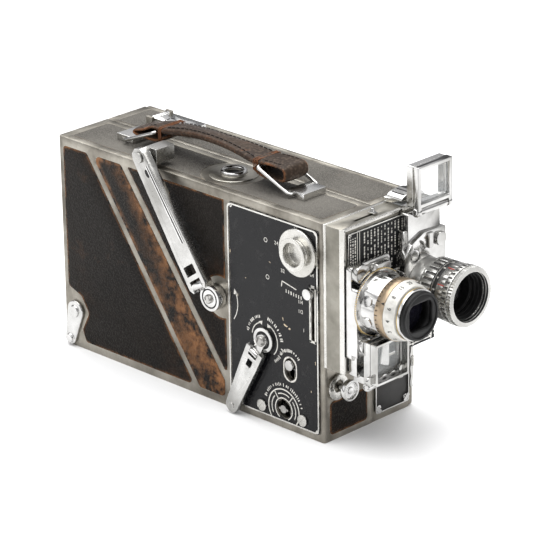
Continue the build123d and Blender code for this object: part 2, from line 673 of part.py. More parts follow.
def tangent_strip(y0, z0, r0, y1, z1, r1):
    """The four-sided face between the outer tangents of two circles."""
    span = math.hypot(y1 - y0, z1 - z0)
    along = ((y1 - y0) / span, (z1 - z0) / span)
    lean = (r0 - r1) / span
    spread = math.sqrt(1 - lean ** 2)
    corners = []
    for side, y, z, r in ((1, y0, z0, r0), (1, y1, z1, r1), (-1, y1, z1, r1), (-1, y0, z0, r0)):
        out_y = lean * along[0] - side * spread * along[1]
        out_z = lean * along[1] + side * spread * along[0]
        corners.append((y + r * out_y, z + r * out_z))
    return outline(corners)


def lock_lever():
    """Teardrop lever at the lower rear that locks the film chamber."""
    x0 = SIDE_X - 2.0
    x1 = SIDE_X - 0.15
    plate = rod_x(x0, x1, LOCK_Y, LOCK_Z, LOCK_R)
    plate = plate + rod_x(x0, x1, PAD_Y, PAD_Z, PAD_R)
    plate = plate + slab_x(tangent_strip(LOCK_Y, LOCK_Z, LOCK_R, PAD_Y, PAD_Z, PAD_R), x0, x1)
    boss = rod_x(SIDE_X - 3.2, SIDE_X - 1.0, LOCK_Y, LOCK_Z, 3.6)
    pad = rod_x(SIDE_X - 3.4, SIDE_X - 1.0, PAD_Y, PAD_Z, 2.7)
    shaft = rod_x(SIDE_X - 1.0, SIDE_X + 5.0, LOCK_Y, LOCK_Z, 1.5)
    washer = rod_x(SIDE_X + WALL + 0.1, SIDE_X + 5.0, LOCK_Y, LOCK_Z, 3.4)
    return plate + boss + pad + shaft + washer


# ---------------------------------------------------------------- spring motor
def spring_barrel():
    """Drum of the mainspring with its gear and arbor."""
    gear = gear_x(BARREL_Y, BARREL_Z, BARREL_TEETH, WINDING_MODULE,
                  SIDE_X + 9.0, SIDE_X + 11.5, barrel_phase())
    drum = rod_x(SIDE_X + 11.5, -3.0, BARREL_Y, BARREL_Z, 41.0)
    arbor = rod_x(SIDE_X + 2.0, SPLIT_X - 1.0, BARREL_Y, BARREL_Z, 4.0)
    lid = rod_x(-3.6, -2.6, BARREL_Y, BARREL_Z, 30.0)
    return gear + drum + arbor + lid


def governor():
    """Centrifugal governor: spindle, collars and two weights."""
    spindle = rod_x(SIDE_X + 8.0, -1.2, GOVERNOR_Y, GOVERNOR_Z, 1.5)
    collars = rod_x(SIDE_X + 10.0, SIDE_X + 13.0, GOVERNOR_Y, GOVERNOR_Z, 5.0)
    collars = collars + rod_x(-9.0, -6.0, GOVERNOR_Y, GOVERNOR_Z, 5.0)
    cross = block(-19.0, -17.0, GOVERNOR_Y - 1.4, GOVERNOR_Y + 1.4, GOVERNOR_Z - 12, GOVERNOR_Z + 12)
    weights = [rod_x(-21.5, -14.5, GOVERNOR_Y, GOVERNOR_Z + s * 10.5, 3.4) for s in (-1, 1)]
    return spindle + collars + cross + weights[0] + weights[1]


def shutter_disc():
    """Rotary shutter with one open sector, on its shaft."""
    disc = rod_y(-110.4, -109.6, DISC_X, DISC_Z, 28.0)
    sector = outline([(0, 0), (40, -12), (40, 60), (-30, 60)])
    opening = slab_y(sector, -109.0, -111.0)
    opening = Pos(DISC_X, 0, DISC_Z) * opening
    disc = disc - opening
    hub = rod_y(-111.0, -108.3, DISC_X, DISC_Z, 5.0)
    shaft = rod_y(-111.0, FRONT_Y + 6.5, DISC_X, DISC_Z, 2.0)
    return disc + hub + shaft


# ---------------------------------------------------------------- turret
def turret_plate():
    """Turret: a flat plate with a raised pod behind each lens, and the finder brackets."""
    base = slab_y(rectangle(5.0, 35.6, 64.0, 119.0, 3.0), TURRET_Y0, TURRET_Y1)
    tongue = slab_y(rectangle(7.6, 33.4, 110.0, LENS_Z + FINDER_HINGE_DZ - 3.4, 1.0),
                    TURRET_Y0, BRACKET_Y)
    pod_face = outline([
        (35.6, 116.0), (18.0, 116.0), (8.0, 111.6), (2.6, 105.0), (2.6, 97.0), (8.6, 86.0),
        (8.6, 66.0), (19.0, 66.0), (24.0, 76.0), (35.6, 76.0),
    ], 1.6)
    pod = slab_y(pod_face, TURRET_Y0, POD_Y1)
    half = pod_cutouts(base + tongue + pod) + finder_bracket()
    bridge = rod_y(TURRET_Y0, TURRET_Y1, 0, LENS_Z, 12.5)
    plate = half + about_turret(half) + bridge
    for x in (-LENS_X, LENS_X):
        plate = plate - rod_y(TURRET_Y0 + 1, POD_Y1 - 1, x, LENS_Z, 12.0)
    return plate - rod_y(TURRET_Y0 + 1, POD_Y1 - 1, 0, LENS_Z, 3.0)


def pod_cutouts(half):
    """Recess the pod's upper corner round its lock screw."""
    recess = rod_y(POD_Y1 + 1.6, POD_Y1 - 1, 11.4, 104.6, 4.2)
    recess = recess + rod_y(POD_Y1 + 1.6, POD_Y1 - 1, 14.0, 108.4, 4.2)
    return half - recess


def turret_screws():
    """Pivot stud, and the lens lock screws and latches on both pods."""
    knurled = rod_y(POD_Y1 - 2.0, POD_Y1, 30.4, 109.6, 4.0)
    flush = rod_y(POD_Y1 + 0.4, POD_Y1 + 1.6, 11.4, 104.6, 3.2)
    latch = block(20.6, 24.0, POD_Y1 - 1.6, POD_Y1, 106.4, 115.4)
    thumb = rod_y(TURRET_Y1 - 3.8, TURRET_Y1, 30.0, 68.4, 5.4)
    shaft = rod_y(HOUSING_Y + HOUSING_WALL + 1.4, TURRET_Y1 - 1.0, 0, LENS_Z, 3.0)
    head = rod_y(TURRET_Y1, TURRET_Y1 - 2.4, 0, LENS_Z, 6.0)
    keeper = rod_y(HOUSING_Y + HOUSING_WALL + 1.4, HOUSING_Y + HOUSING_WALL + 0.2, 0, LENS_Z, 5.0)
    pivot = shaft + head + keeper
    group = [knurled, flush, latch, thumb]
    return Compound(children=[pivot] + group + [about_turret(part) for part in group])


def lens_axis(x, stations, bore):
    """A lens part: a turned outside with a straight bore."""
    outside = turned_y(x, LENS_Z, stations)
    y_values = [y for y0, y1, _ in stations for y in (y0, y1)]
    hole = rod_y(max(y_values) + 1, min(y_values) - 1, x, LENS_Z, bore)
    return outside - hole


LENS_A_X = LENS_X
LENS_B_X = -LENS_X


def lens_a_barrel():
    """Fixed inner tube of the taking lens, with its base, scale ring and front rim."""
    barrel = lens_axis(LENS_A_X, [
        (TURRET_Y0 - 0.2, POD_Y1, 12.0),
        (POD_Y1, POD_Y1 - 9.0, 14.4),
        (POD_Y1 - 9.0, -148.9, 13.0),
        (-148.9, -152.0, 16.4),
        (-152.0, -161.0, 14.0),
        (-161.0, -162.5, 15.9),
    ], 11.0)
    cone = Pos(LENS_A_X, -157.5, LENS_Z) * Rot(90, 0, 0) * Cone(11.0, 14.2, 10.02)
    rear_stop = rod_y(-134.0, -136.0, LENS_A_X, LENS_Z, 11.5)
    rear_stop = rear_stop - rod_y(-133.0, -137.0, LENS_A_X, LENS_Z, 7.0)
    return barrel - cone + rear_stop


def lens_a_iris_ring():
    """Ribbed iris ring of the taking lens."""
    ring = lens_axis(LENS_A_X, [(POD_Y1 - 9.1, -148.8, 16.6)], 13.0 + FIT)
    return ribbed(ring, LENS_A_X, LENS_Z, POD_Y1 - 10.6, -147.6, 16.6, 30, 1.5, 0.7)


def lens_a_focus_ring():
    """Focus ring of the taking lens, ribbed at its front edge."""
    ring = lens_axis(LENS_A_X, [(-152.1, -157.4, 16.9), (-157.4, -160.9, 17.4)], 14.0 + FIT)
    return ribbed(ring, LENS_A_X, LENS_Z, -156.6, -160.2, 17.4, 36, 1.3, 0.8)


def lens_glass(x, y_back, y_front, radius):
    """A biconvex element, drawn as a turned disc with raised faces."""
    body = rod_y(y_back, y_front, x, LENS_Z, radius)
    raised = rod_y(y_back + 0.5, y_front - 0.5, x, LENS_Z, radius * 0.7)
    return body + raised


def lens_glasses():
    """Front elements of both lenses."""
    front_a = lens_glass(LENS_A_X, -140.0, -146.0, 11.0)
    front_b = lens_glass(LENS_B_X, -148.0, -153.0, 10.6)
    return Compound(children=[front_a, front_b])


def lens_b_barrel():
    """Fixed body of the second lens, with its knurled mount and flange."""
    barrel = lens_axis(LENS_B_X, [
        (TURRET_Y0 - 0.2, POD_Y1, 12.0),
        (POD_Y1, POD_Y1 - 1.6, 18.8),
        (POD_Y1 - 1.6, -143.4, 16.4),
        (-143.4, -156.4, 13.0),
        (-156.4, -159.4, 14.6),
    ], 10.6)
    screws = [
        Pos(LENS_B_X, -137.4, LENS_Z) * Rot(0, turn, 0) * Pos(-16.2, 0, 0) * Rot(0, 90, 0)
        * Cylinder(3.0, 2.2) for turn in (-20, 22)
    ]
    return barrel + screws[0] + screws[1]


def lens_b_iris_ring():
    """Iris ring of the second lens: dotted scale and a tan band."""
    return lens_axis(LENS_B_X, [(-143.5, -145.8, 17.2), (-145.8, -149.6, 17.4)], 13.0 + FIT)


def lens_b_focus_ring():
    """Tapered distance ring of the second lens."""
    length = 6.5
    taper = Pos(LENS_B_X, -149.7 - length / 2, LENS_Z) * Rot(90, 0, 0)
    taper = taper * Cone(17.2, 15.4, length)
    return taper - rod_y(-149.0, -157.0, LENS_B_X, LENS_Z, 13.0 + FIT)


def lens_b_hood():
    """Black front mask of the second lens with a rounded rectangular opening."""
    hood = rod_y(-159.4, -162.0, LENS_B_X, LENS_Z, 13.8)
    mouth = slab_y(rectangle(-9.0, 9.0, -7.6, 7.6, 3.6), -159.0, -163.0)
    return hood - Pos(LENS_B_X, 0, LENS_Z) * mouth


def finder_frame(folded):
    """Square finder frame; folded means lying back over its bracket."""
    hinge_z = LENS_Z + FINDER_HINGE_DZ
    x0 = LENS_X + 0.5 - FINDER_W / 2
    x1 = x0 + FINDER_W
    y0 = FINDER_HINGE_Y - FINDER_D / 2
    y1 = FINDER_HINGE_Y + FINDER_D / 2
    frame = block(x0, x1, y0, y1, hinge_z + 2.7, hinge_z + FINDER_H)
    frame = frame - block(x0 + 2, x1 - 2, y0 - 1, y1 + 1, hinge_z + 4.7, hinge_z + FINDER_H - 2)
    frame = frame - finder_glass(False)
    for ear0, ear1 in ((x0, x0 + 2.4), (x1 - 2.4, x1)):
        frame = frame + rod_x(ear0, ear1, FINDER_HINGE_Y, hinge_z, 2.6)
        frame = frame + block(ear0, ear1, y0, y1, hinge_z, hinge_z + 3.0)
        frame = frame - rod_x(ear0 - 1, ear1 + 1, FINDER_HINGE_Y, hinge_z, 1.0 + FIT)
    if folded:
        frame = fold_finder(frame, hinge_z)
    return frame


def finder_glass(folded):
    """Thin glass held in the groove of a finder frame."""
    hinge_z = LENS_Z + FINDER_HINGE_DZ
    x0 = LENS_X + 0.5 - FINDER_W / 2
    x1 = x0 + FINDER_W
    glass = block(x0 + 1.2, x1 - 1.2, FINDER_HINGE_Y - 0.5, FINDER_HINGE_Y + 0.5,
                  hinge_z + 3.9, hinge_z + FINDER_H - 1.2)
    if folded:
        glass = fold_finder(glass, hinge_z)
    return glass


def fold_finder(shape, hinge_z):
    """Turn a frame half a turn about its hinge."""
    place = Pos(0, FINDER_HINGE_Y, hinge_z)
    back = Pos(0, -FINDER_HINGE_Y, -hinge_z)
    return place * Rot(180, 0, 0) * back * shape


def finder_bracket():
    """Hinge block at the head of a finder bracket, with its hinge pin."""
    hinge_z = LENS_Z + FINDER_HINGE_DZ
    x0 = LENS_X + 0.5 - FINDER_W / 2
    x1 = x0 + FINDER_W
    foot = block(x0 + 3.0, x1 - 3.0, TURRET_Y0, FINDER_HINGE_Y + 2.6,
                 hinge_z - 3.4, hinge_z + 0.6)
    web = block(x0 + 3.0, x1 - 3.0, FINDER_HINGE_Y + 2.6, FINDER_HINGE_Y, hinge_z - 1.2,
                hinge_z + 0.6)
    knuckle = rod_x(x0 + 2.7, x1 - 2.7, FINDER_HINGE_Y, hinge_z, 2.2)
    pin = rod_x(x0 - 0.8, x1 + 0.8, FINDER_HINGE_Y, hinge_z, 1.0)
    return web + foot + knuckle + pin


# ---------------------------------------------------------------- film chamber
CH_X0 = SPLIT_X + CHAMBER_GAP
CH_COVER_X = FAR_X - 3.0
CH_Y0 = FRONT_Y + CHAMBER_GAP
SPROCKET_Y, SPROCKET_Z, SPROCKET_R = -88.0, 24.0, 9.7
SIGHT_HINGE_Y = 76.0
SIGHT_END_Y = 44.6
SIGHT_X0 = 10.8
SIGHT_X1 = 23.8
SIGHT_PLATE_Z = TOP_Z + LEATHER_PROUD + 4.3
SIGHT_PIN_Z = SIGHT_PLATE_Z + 0.5


def chamber_case():
    """Film chamber tray, open towards its side cover."""
    outer = block(CH_X0, CH_COVER_X, CH_Y0, REAR_Y, 0, TOP_Z)
    inner = block(CH_X0 + WALL, CH_COVER_X + 1, CH_Y0 + WALL, REAR_Y - WALL, WALL, TOP_Z - WALL)
    case = outer - inner
    case = case - rod_y(CH_Y0 - 1, CH_Y0 + 5, LENS_X, LENS_Z, 6)
    for y in (TAKE_UP_Y, SUPPLY_Y):
        case = case - rod_x(CH_X0 - 1, CH_X0 + 5, y, SPOOL_Z, 2.5 + FIT)
    case = case - rod_x(CH_X0 - 1, CH_X0 + 5, SPROCKET_Y, SPROCKET_Z, 2.5 + FIT)
    top, rear = chamber_leathers()
    return case - top - rear + sight_lugs()


def chamber_leathers():
    """Leather panels on the film chamber's top and back."""
    top = top_leather(CH_X0 + 2.4, CH_COVER_X - 1.6, False) - sight_lugs()
    face = rectangle(CH_X0 + 3.0, CH_COVER_X - 2.0, 5.0, 125.0, 2.5)
    return top, slab_y(face, REAR_Y + LEATHER_PROUD, REAR_Y - LEATHER_T)


def sight_lugs():
    """Hinge lugs and pin of the rear sight."""
    near = SIGHT_X0 - 0.3
    far = SIGHT_X1 + 0.3
    group = rod_x(near - 1.8, far + 1.8, SIGHT_HINGE_Y, SIGHT_PIN_Z, 0.7)
    for x0, x1 in ((near - 1.8, near), (far, far + 1.8)):
        group = group + block(x0, x1, SIGHT_HINGE_Y - 2, SIGHT_HINGE_Y + 3,
                              TOP_Z - LEATHER_T, SIGHT_PIN_Z + 1.6)
    return group


def chamber_cover():
    """Side cover of the film chamber; it lifts straight off."""
    cover = block(CH_COVER_X, FAR_X, CH_Y0, REAR_Y, 0, TOP_Z)
    edges = cover.edges().filter_by(Axis.X)
    cover = fillet(edges, 2.0)
    return cover - chamber_side_leather()


def chamber_side_leather():
    """Large leather panel on the chamber's cover."""
    face = rectangle(-101.0, 101.0, 5.0, 125.0, 3.0)
    return slab_x(face, FAR_X - LEATHER_T, FAR_X + LEATHER_PROUD)


def chamber_front_plate():
    """Dark plate on the chamber's lower front."""
    return slab_y(rectangle(CH_X0 + 2.0, CH_COVER_X - 1.0, 5.0, 44.5, 1.0), CH_Y0, CH_Y0 - 0.6)


def chamber_screws():
    """Corner clips and screws of the chamber's front plate."""
    spots = [(x, z) for x in (CH_X0 + 4.6, CH_COVER_X - 3.6) for z in (7.6, 42.0)]
    return Compound(children=[screw_y(CH_Y0 - 0.6, x, z, 1.7, 0.6, 0.5) for x, z in spots])


def chamber_latch():
    """Sliding catch of the chamber's cover, on its front edge."""
    bar = block(CH_COVER_X + 0.6, FAR_X - 0.4, CH_Y0 - 1.4, CH_Y0 - 0.1, 19.0, 36.0)
    grip = block(CH_COVER_X + 0.9, FAR_X - 0.7, CH_Y0 - 2.4, CH_Y0 - 1.2, 25.0, 31.0)
    return bar + grip


def film_gate():
    """Gate plate with the film aperture, inside the chamber's front wall."""
    plate = block(LENS_X - 9, LENS_X + 8, CH_Y0 + WALL, CH_Y0 + WALL + 1.5, 62.0, 112.0)
    return plate - block(LENS_X - 5, LENS_X + 5, -110, -90, LENS_Z - 3.7, LENS_Z + 3.7)


def sprocket():
    """Toothed film sprocket on its drive spindle."""
    drum = rod_x(SPOOL_X0, SPOOL_X1 - 1, SPROCKET_Y, SPROCKET_Z, 8.6)
    spindle = rod_x(CH_X0 + 0.4, SPOOL_X1, SPROCKET_Y, SPROCKET_Z, 2.5)
    rims = rod_x(SPOOL_X0 + 0.8, SPOOL_X0 + 2.8, SPROCKET_Y, SPROCKET_Z, SPROCKET_R)
    rims = rims + rod_x(SPOOL_X1 - 3.8, SPOOL_X1 - 1.8, SPROCKET_Y, SPROCKET_Z, SPROCKET_R)
    return drum + spindle + rims


def spool(y):
    """A 100 foot daylight spool with its spindle."""
    core = rod_x(SPOOL_X0, SPOOL_X1, y, SPOOL_Z, SPOOL_CORE_R)
    flanges = rod_x(SPOOL_X0, SPOOL_X0 + 1, y, SPOOL_Z, SPOOL_R)
    flanges = flanges + rod_x(SPOOL_X1 - 1, SPOOL_X1, y, SPOOL_Z, SPOOL_R)
    spindle = rod_x(CH_X0 + 0.4, SPOOL_X0 + 1, y, SPOOL_Z, 2.5)
    key = block(SPOOL_X1 - 3, SPOOL_X1 + 1, y - 4, y + 4, SPOOL_Z - 4, SPOOL_Z + 4)
    return core + flanges + spindle - key


def rear_sight():
    """Folding rear sight plate of the finder, hinged at its rear end."""
    top = SIGHT_PLATE_Z + 1.3
    foot = TOP_Z + LEATHER_PROUD + 0.1
    middle_x = (SIGHT_X0 + SIGHT_X1) / 2
    plate = block(SIGHT_X0, SIGHT_X1, SIGHT_END_Y, SIGHT_HINGE_Y, SIGHT_PLATE_Z, top)
    leg = block(SIGHT_X0, SIGHT_X1, SIGHT_END_Y, SIGHT_END_Y + 1.3, foot, top)
    barrel = rod_x(SIGHT_X0, SIGHT_X1, SIGHT_HINGE_Y, SIGHT_PIN_Z, 1.6)
    plate = plate + leg + barrel
    plate = plate - rod_z(SIGHT_PLATE_Z - 1, top + 1, middle_x, 60.0, 2.0)
    return plate - rod_x(SIGHT_X0 - 1, SIGHT_X1 + 1, SIGHT_HINGE_Y, SIGHT_PIN_Z, 0.7 + FIT)


# ---------------------------------------------------------------- every node
NODES = {
    "mechanism_case": mechanism_case(),
    "mechanism_cover": mechanism_cover(),
    "tripod_bush": tripod_bush(),
    "side_leathers": Compound(children=list(side_leathers())),
    "mechanism_top_leather": top_leather(-31.2, -2.4, True),
    "mechanism_end_leathers": Compound(children=[front_leather(), rear_leather()]),
    "control_plate": control_plate(),
    "mechanism_screws": mechanism_screws(),
    "top_port": top_port(),
    "handle_lugs": handle_lugs(),
    "front_housing": front_housing(),
    "housing_gate_plate": housing_gate_plate(),
    "front_table_plate": front_table_plate(),
    "reflex_glass": reflex_glass(),
    "reflex_lever": reflex_lever(),
    "reflex_prism": reflex_prism(),
    "reflex_hood": reflex_hood(),
    "handle_strap": handle_strap(),
    "front_handle_loop": wire_loop(-1),
    "rear_handle_loop": wire_loop(1),
    "winding_hub": winding_hub(),
    "winding_arm": winding_arm(),
    "winding_grip": winding_grip(),
    "spring_barrel": spring_barrel(),
    "hand_crank_hub": hand_crank_hub(),
    "hand_crank_arm": hand_crank_arm(),
    "one_frame_shaft": one_frame_shaft(),
    "governor": governor(),
    "shutter_disc": shutter_disc(),
    "speed_dial": speed_dial(),
    "shutter_lever": shutter_lever(),
    "single_frame_button": single_frame_button(),
    "release_knob": release_knob(),
    "lock_lever": lock_lever(),
    "turret_plate": turret_plate(),
    "turret_screws": turret_screws(),
    "lens_a_barrel": lens_a_barrel(),
    "lens_a_iris_ring": lens_a_iris_ring(),
    "lens_a_focus_ring": lens_a_focus_ring(),
    "lens_b_barrel": lens_b_barrel(),
    "lens_b_iris_ring": lens_b_iris_ring(),
    "lens_b_focus_ring": lens_b_focus_ring(),
    "lens_b_hood": lens_b_hood(),
    "lens_glasses": lens_glasses(),
    "finder_frame_a": finder_frame(False),
    "finder_frame_b": about_turret(finder_frame(True)),
    "finder_glass_a": finder_glass(False),
    "finder_glass_b": about_turret(finder_glass(True)),
    "chamber_case": chamber_case(),
    "chamber_cover": chamber_cover(),
    "chamber_leathers": Compound(children=list(chamber_leathers())),
    "chamber_side_leather": chamber_side_leather(),
    "chamber_front_plate": chamber_front_plate(),
    "chamber_screws": chamber_screws(),
    "chamber_latch": chamber_latch(),
    "film_gate": film_gate(),
    "sprocket": sprocket(),
    "supply_spool": spool(SUPPLY_Y),
    "take_up_spool": spool(TAKE_UP_Y),
    "rear_sight": rear_sight(),
}

for name, shape in NODES.items():
    save(name, shape)
print(len(NODES), "nodes")
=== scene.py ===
"""Looks of the spring-driven cine camera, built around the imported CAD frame."""

import math
import random

import bmesh
import bpy
from mathutils import Matrix, Vector


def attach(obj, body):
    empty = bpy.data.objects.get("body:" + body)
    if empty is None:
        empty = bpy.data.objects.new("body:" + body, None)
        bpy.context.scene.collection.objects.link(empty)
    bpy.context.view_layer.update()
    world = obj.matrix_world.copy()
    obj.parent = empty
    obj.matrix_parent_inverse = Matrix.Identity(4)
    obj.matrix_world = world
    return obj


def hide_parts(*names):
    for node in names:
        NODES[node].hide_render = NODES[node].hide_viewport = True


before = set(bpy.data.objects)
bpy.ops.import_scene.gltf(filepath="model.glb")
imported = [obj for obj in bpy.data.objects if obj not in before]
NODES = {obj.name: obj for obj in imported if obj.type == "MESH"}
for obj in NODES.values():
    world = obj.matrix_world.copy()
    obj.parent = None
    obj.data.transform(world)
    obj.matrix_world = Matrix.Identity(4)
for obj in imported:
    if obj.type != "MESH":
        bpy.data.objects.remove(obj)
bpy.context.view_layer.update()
MM = 0.001


# ---------------------------------------------------------------- shader building
class Shader:
    """A procedural material, put together socket by socket in object space."""

    def __init__(self, name):
        self.mat = bpy.data.materials.new(name)
        self.mat.use_nodes = True
        self.tree = self.mat.node_tree
        self.bsdf = self.tree.nodes["Principled BSDF"]
        self.coords = self.tree.nodes.new("ShaderNodeTexCoord").outputs["Object"]

    def node(self, kind, sockets, **settings):
        """Make a node with these settings, and feed its named or numbered sockets."""
        made = self.tree.nodes.new(kind)
        for key, value in settings.items():
            setattr(made, key, value)
        for key, value in sockets.items():
            self.feed(made.inputs[key], value)
        return made

    def feed(self, socket, value):
        """Link a socket, or set its constant."""
        if isinstance(value, bpy.types.NodeSocket):
            self.tree.links.new(value, socket)
        elif isinstance(value, tuple):
            socket.default_value = (*value, 1.0)
        else:
            socket.default_value = value

    def noise(self, scale, detail=4.0, rough=0.55, twist=0.0):
        return self.node("ShaderNodeTexNoise", {
            "Vector": self.coords, "Scale": scale, "Detail": detail, "Roughness": rough,
            "Distortion": twist}).outputs["Fac"]

    def cells(self, scale, feature="F1", **extra):
        sockets = {"Vector": self.coords, "Scale": scale, **extra}
        return self.node("ShaderNodeTexVoronoi", sockets, feature=feature).outputs["Distance"]

    def ramp(self, fac, low, high, start=0.0, end=1.0):
        """Fac between low and high, stretched to start..end."""
        return self.node("ShaderNodeMapRange", {
            "Value": fac, "From Min": low, "From Max": high, "To Min": start,
            "To Max": end}, clamp=True).outputs["Result"]

    def calc(self, operation, a, b):
        return self.node("ShaderNodeMath", {0: a, 1: b}, operation=operation,
                         use_clamp=True).outputs["Value"]

    def mix(self, fac, a, b):
        return self.node("ShaderNodeMix", {"Factor": fac, "A": a, "B": b},
                         data_type="RGBA").outputs["Result"]

    def edges(self, radius, low=0.02, high=0.22):
        """One on convex and concave edges nearer than radius, zero on flat faces."""
        bevel = self.node("ShaderNodeBevel", {"Radius": radius}, samples=6)
        flat = self.node("ShaderNodeNewGeometry", {})
        dot = self.node("ShaderNodeVectorMath", {
            0: bevel.outputs["Normal"], 1: flat.outputs["Normal"]}, operation="DOT_PRODUCT")
        return self.ramp(dot.outputs["Value"], 1.0 - high, 1.0 - low, 1.0, 0.0)

    def bump(self, *layers):
        """Stack (height, strength, distance) layers on the normal."""
        below = {}
        for height, strength, distance in layers:
            made = self.node("ShaderNodeBump", {
                "Strength": strength, "Distance": distance, "Height": height, **below})
            below = {"Normal": made.outputs["Normal"]}
        self.feed(self.bsdf.inputs["Normal"], below["Normal"])

    def set(self, **sockets):
        names = {
            "color": "Base Color", "metallic": "Metallic", "rough": "Roughness",
            "coat": "Coat Weight", "alpha": "Alpha", "specular": "Specular IOR Level",
        }
        for key, value in sockets.items():
            self.feed(self.bsdf.inputs[names[key]], value)
        return self.mat


# ---------------------------------------------------------------- materials
def metal(name, dark, light, rough, grain=900.0, wear=None, pits=0.0, stain=0.35, edge=0.0007):
    """Metal with cloudy tone, fine grain, worn edges and small pits."""
    s = Shader(name)
    cloud = s.noise(38.0, 6.0, 0.6)
    fine = s.noise(grain, 3.0, 0.6)
    tone = s.mix(s.ramp(cloud, 0.36, 0.66), dark, light)
    stained = s.calc("MULTIPLY", s.ramp(s.noise(150.0, 5.0, 0.7), 0.56, 0.72), stain)
    tone = s.mix(stained, tone, dark)
    roughness = s.calc("ADD", s.ramp(cloud, 0.3, 0.7, rough - 0.05, rough + 0.05),
                       s.ramp(fine, 0.3, 0.8, -0.04, 0.08))
    if wear is not None:
        patchy = s.ramp(s.noise(220.0, 4.0, 0.7), 0.35, 0.62)
        worn = s.calc("MULTIPLY", s.edges(edge), patchy)
        tone = s.mix(worn, tone, wear)
        roughness = s.calc("SUBTRACT", roughness, s.calc("MULTIPLY", worn, 0.12))
    if pits > 0:
        spots = s.ramp(s.cells(420.0), 0.05, 0.16, 1.0, 0.0)
        spots = s.calc("MULTIPLY", spots, s.ramp(s.noise(60.0), 0.5, 0.62))
        spots = s.calc("MULTIPLY", spots, pits)
        tone = s.mix(spots, tone, (0.16, 0.13, 0.10))
        roughness = s.calc("ADD", roughness, s.calc("MULTIPLY", spots, 0.4))
    s.bump((fine, 0.06, 0.0002))
    return s.set(color=tone, metallic=1.0, rough=roughness)


def pebbled_leather(name, base, lifted, worn_color, scale, depth, edge, gloss, scuff):
    """Pebble-grained leather with rubbed, browned edges."""
    s = Shader(name)
    warp = s.noise(scale * 0.5, 2.0, 0.5)
    pebble = s.cells(scale, "SMOOTH_F1", Smoothness=0.35)
    small = s.cells(scale * 2.3)
    grain = s.calc("ADD", s.ramp(pebble, 0.0, 0.75, 1.0, 0.0),
                   s.calc("MULTIPLY", s.ramp(small, 0.0, 0.7, 1.0, 0.0), 0.3))
    tone = s.mix(s.ramp(grain, 0.35, 1.0), base, lifted)
    tone = s.mix(s.ramp(s.noise(16.0, 5.0), 0.42, 0.72, 0.0, 0.5), tone, lifted)
    rubbed = s.calc("MULTIPLY", s.edges(edge, 0.01, 0.15),
                    s.ramp(s.noise(95.0, 5.0, 0.7), 0.40, 0.60))
    scuffs = s.calc("MULTIPLY", s.ramp(s.noise(70.0, 7.0, 0.72, 0.4), 0.60, 0.68), scuff)
    tone = s.mix(s.calc("MAXIMUM", rubbed, scuffs), tone, worn_color)
    rough = s.ramp(s.calc("MULTIPLY", grain, warp), 0.1, 0.6, gloss + 0.16, gloss)
    s.bump((grain, 0.55, depth), (s.noise(scale * 4.0, 2.0), 0.12, depth * 0.4))
    return s.set(color=tone, rough=rough, specular=0.13)


def enamel(name, base, chip, gloss=0.16, chips=1.0):
    """Gloss enamel, chipped to bright metal at its edges and in a few spots."""
    s = Shader(name)
    spots = s.ramp(s.noise(210.0, 6.0, 0.65, 0.3), 0.695, 0.715)
    patch = s.ramp(s.noise(42.0, 2.0), 0.52, 0.60)
    chipped = s.calc("MULTIPLY", s.calc("MULTIPLY", spots, patch), chips)
    rubbed = s.calc("MULTIPLY", s.edges(0.0005), s.ramp(s.noise(260.0, 4.0), 0.45, 0.58))
    chipped = s.calc("MAXIMUM", chipped, rubbed)
    dust = s.ramp(s.noise(120.0, 8.0, 0.75), 0.55, 0.8, 0.0, 0.10)
    tone = s.mix(dust, base, (0.35, 0.34, 0.32))
    tone = s.mix(chipped, tone, chip)
    rough = s.ramp(s.noise(75.0, 6.0, 0.7), 0.3, 0.8, gloss, gloss + 0.20)
    s.bump((s.noise(30.0, 2.0), 0.04, 0.001), (chipped, 0.25, -0.0001))
    return s.set(color=tone, rough=rough, metallic=s.calc("MULTIPLY", chipped, 0.8),
                 specular=0.2)


def plain(name, base, other, rough, scale=300.0, metallic=0.0, coat=0.0):
    """A simple finish with a little tonal grain and bump."""
    s = Shader(name)
    grain = s.noise(scale, 5.0, 0.6)
    tone = s.mix(s.ramp(grain, 0.35, 0.7), base, other)
    roughness = s.ramp(grain, 0.3, 0.75, rough - 0.06, rough + 0.08)
    s.bump((grain, 0.12, 0.0002))
    return s.set(color=tone, specular=0.25, rough=roughness, metallic=metallic, coat=coat)


def clear_glass(name, tint, alpha):
    """Thin clear glass with faint smears."""
    s = Shader(name)
    smear = s.noise(60.0, 5.0, 0.6)
    rough = s.ramp(smear, 0.4, 0.8, 0.02, 0.12)
    tone = s.mix(s.ramp(smear, 0.3, 0.7), tint, (0.95, 0.97, 0.97))
    s.bump((smear, 0.02, 0.0005))
    return s.set(color=tone, rough=rough, alpha=alpha, specular=0.8)


CAST = metal("cast_frame", (0.17, 0.155, 0.130), (0.42, 0.395, 0.345), 0.42,
             wear=(0.80, 0.77, 0.70))
CAST_SIDE = metal("cast_side", (0.16, 0.15, 0.126), (0.335, 0.32, 0.28), 0.36,
                  wear=(0.80, 0.78, 0.73), edge=0.0012)
# Lighter copy of the cast metal; on the housing's top faces it is painted light from above.
CAST_BRIGHT = metal("cast_bright", (0.24, 0.225, 0.19), (0.47, 0.45, 0.40), 0.34,
                    wear=(0.9, 0.89, 0.87))
CHROME = metal("chrome", (0.38, 0.375, 0.36), (0.68, 0.675, 0.665), 0.13, pits=0.12, stain=0.25)
CHROME_WORN = metal("chrome_worn", (0.32, 0.315, 0.30), (0.60, 0.595, 0.58), 0.22, pits=0.9,
                    wear=(0.92, 0.91, 0.89))
POLISHED = metal("polished_nickel", (0.66, 0.655, 0.64), (0.86, 0.855, 0.84), 0.20, stain=0.15)
NICKEL = metal("nickel", (0.46, 0.45, 0.42), (0.70, 0.69, 0.66), 0.27, wear=(0.88, 0.87, 0.84))
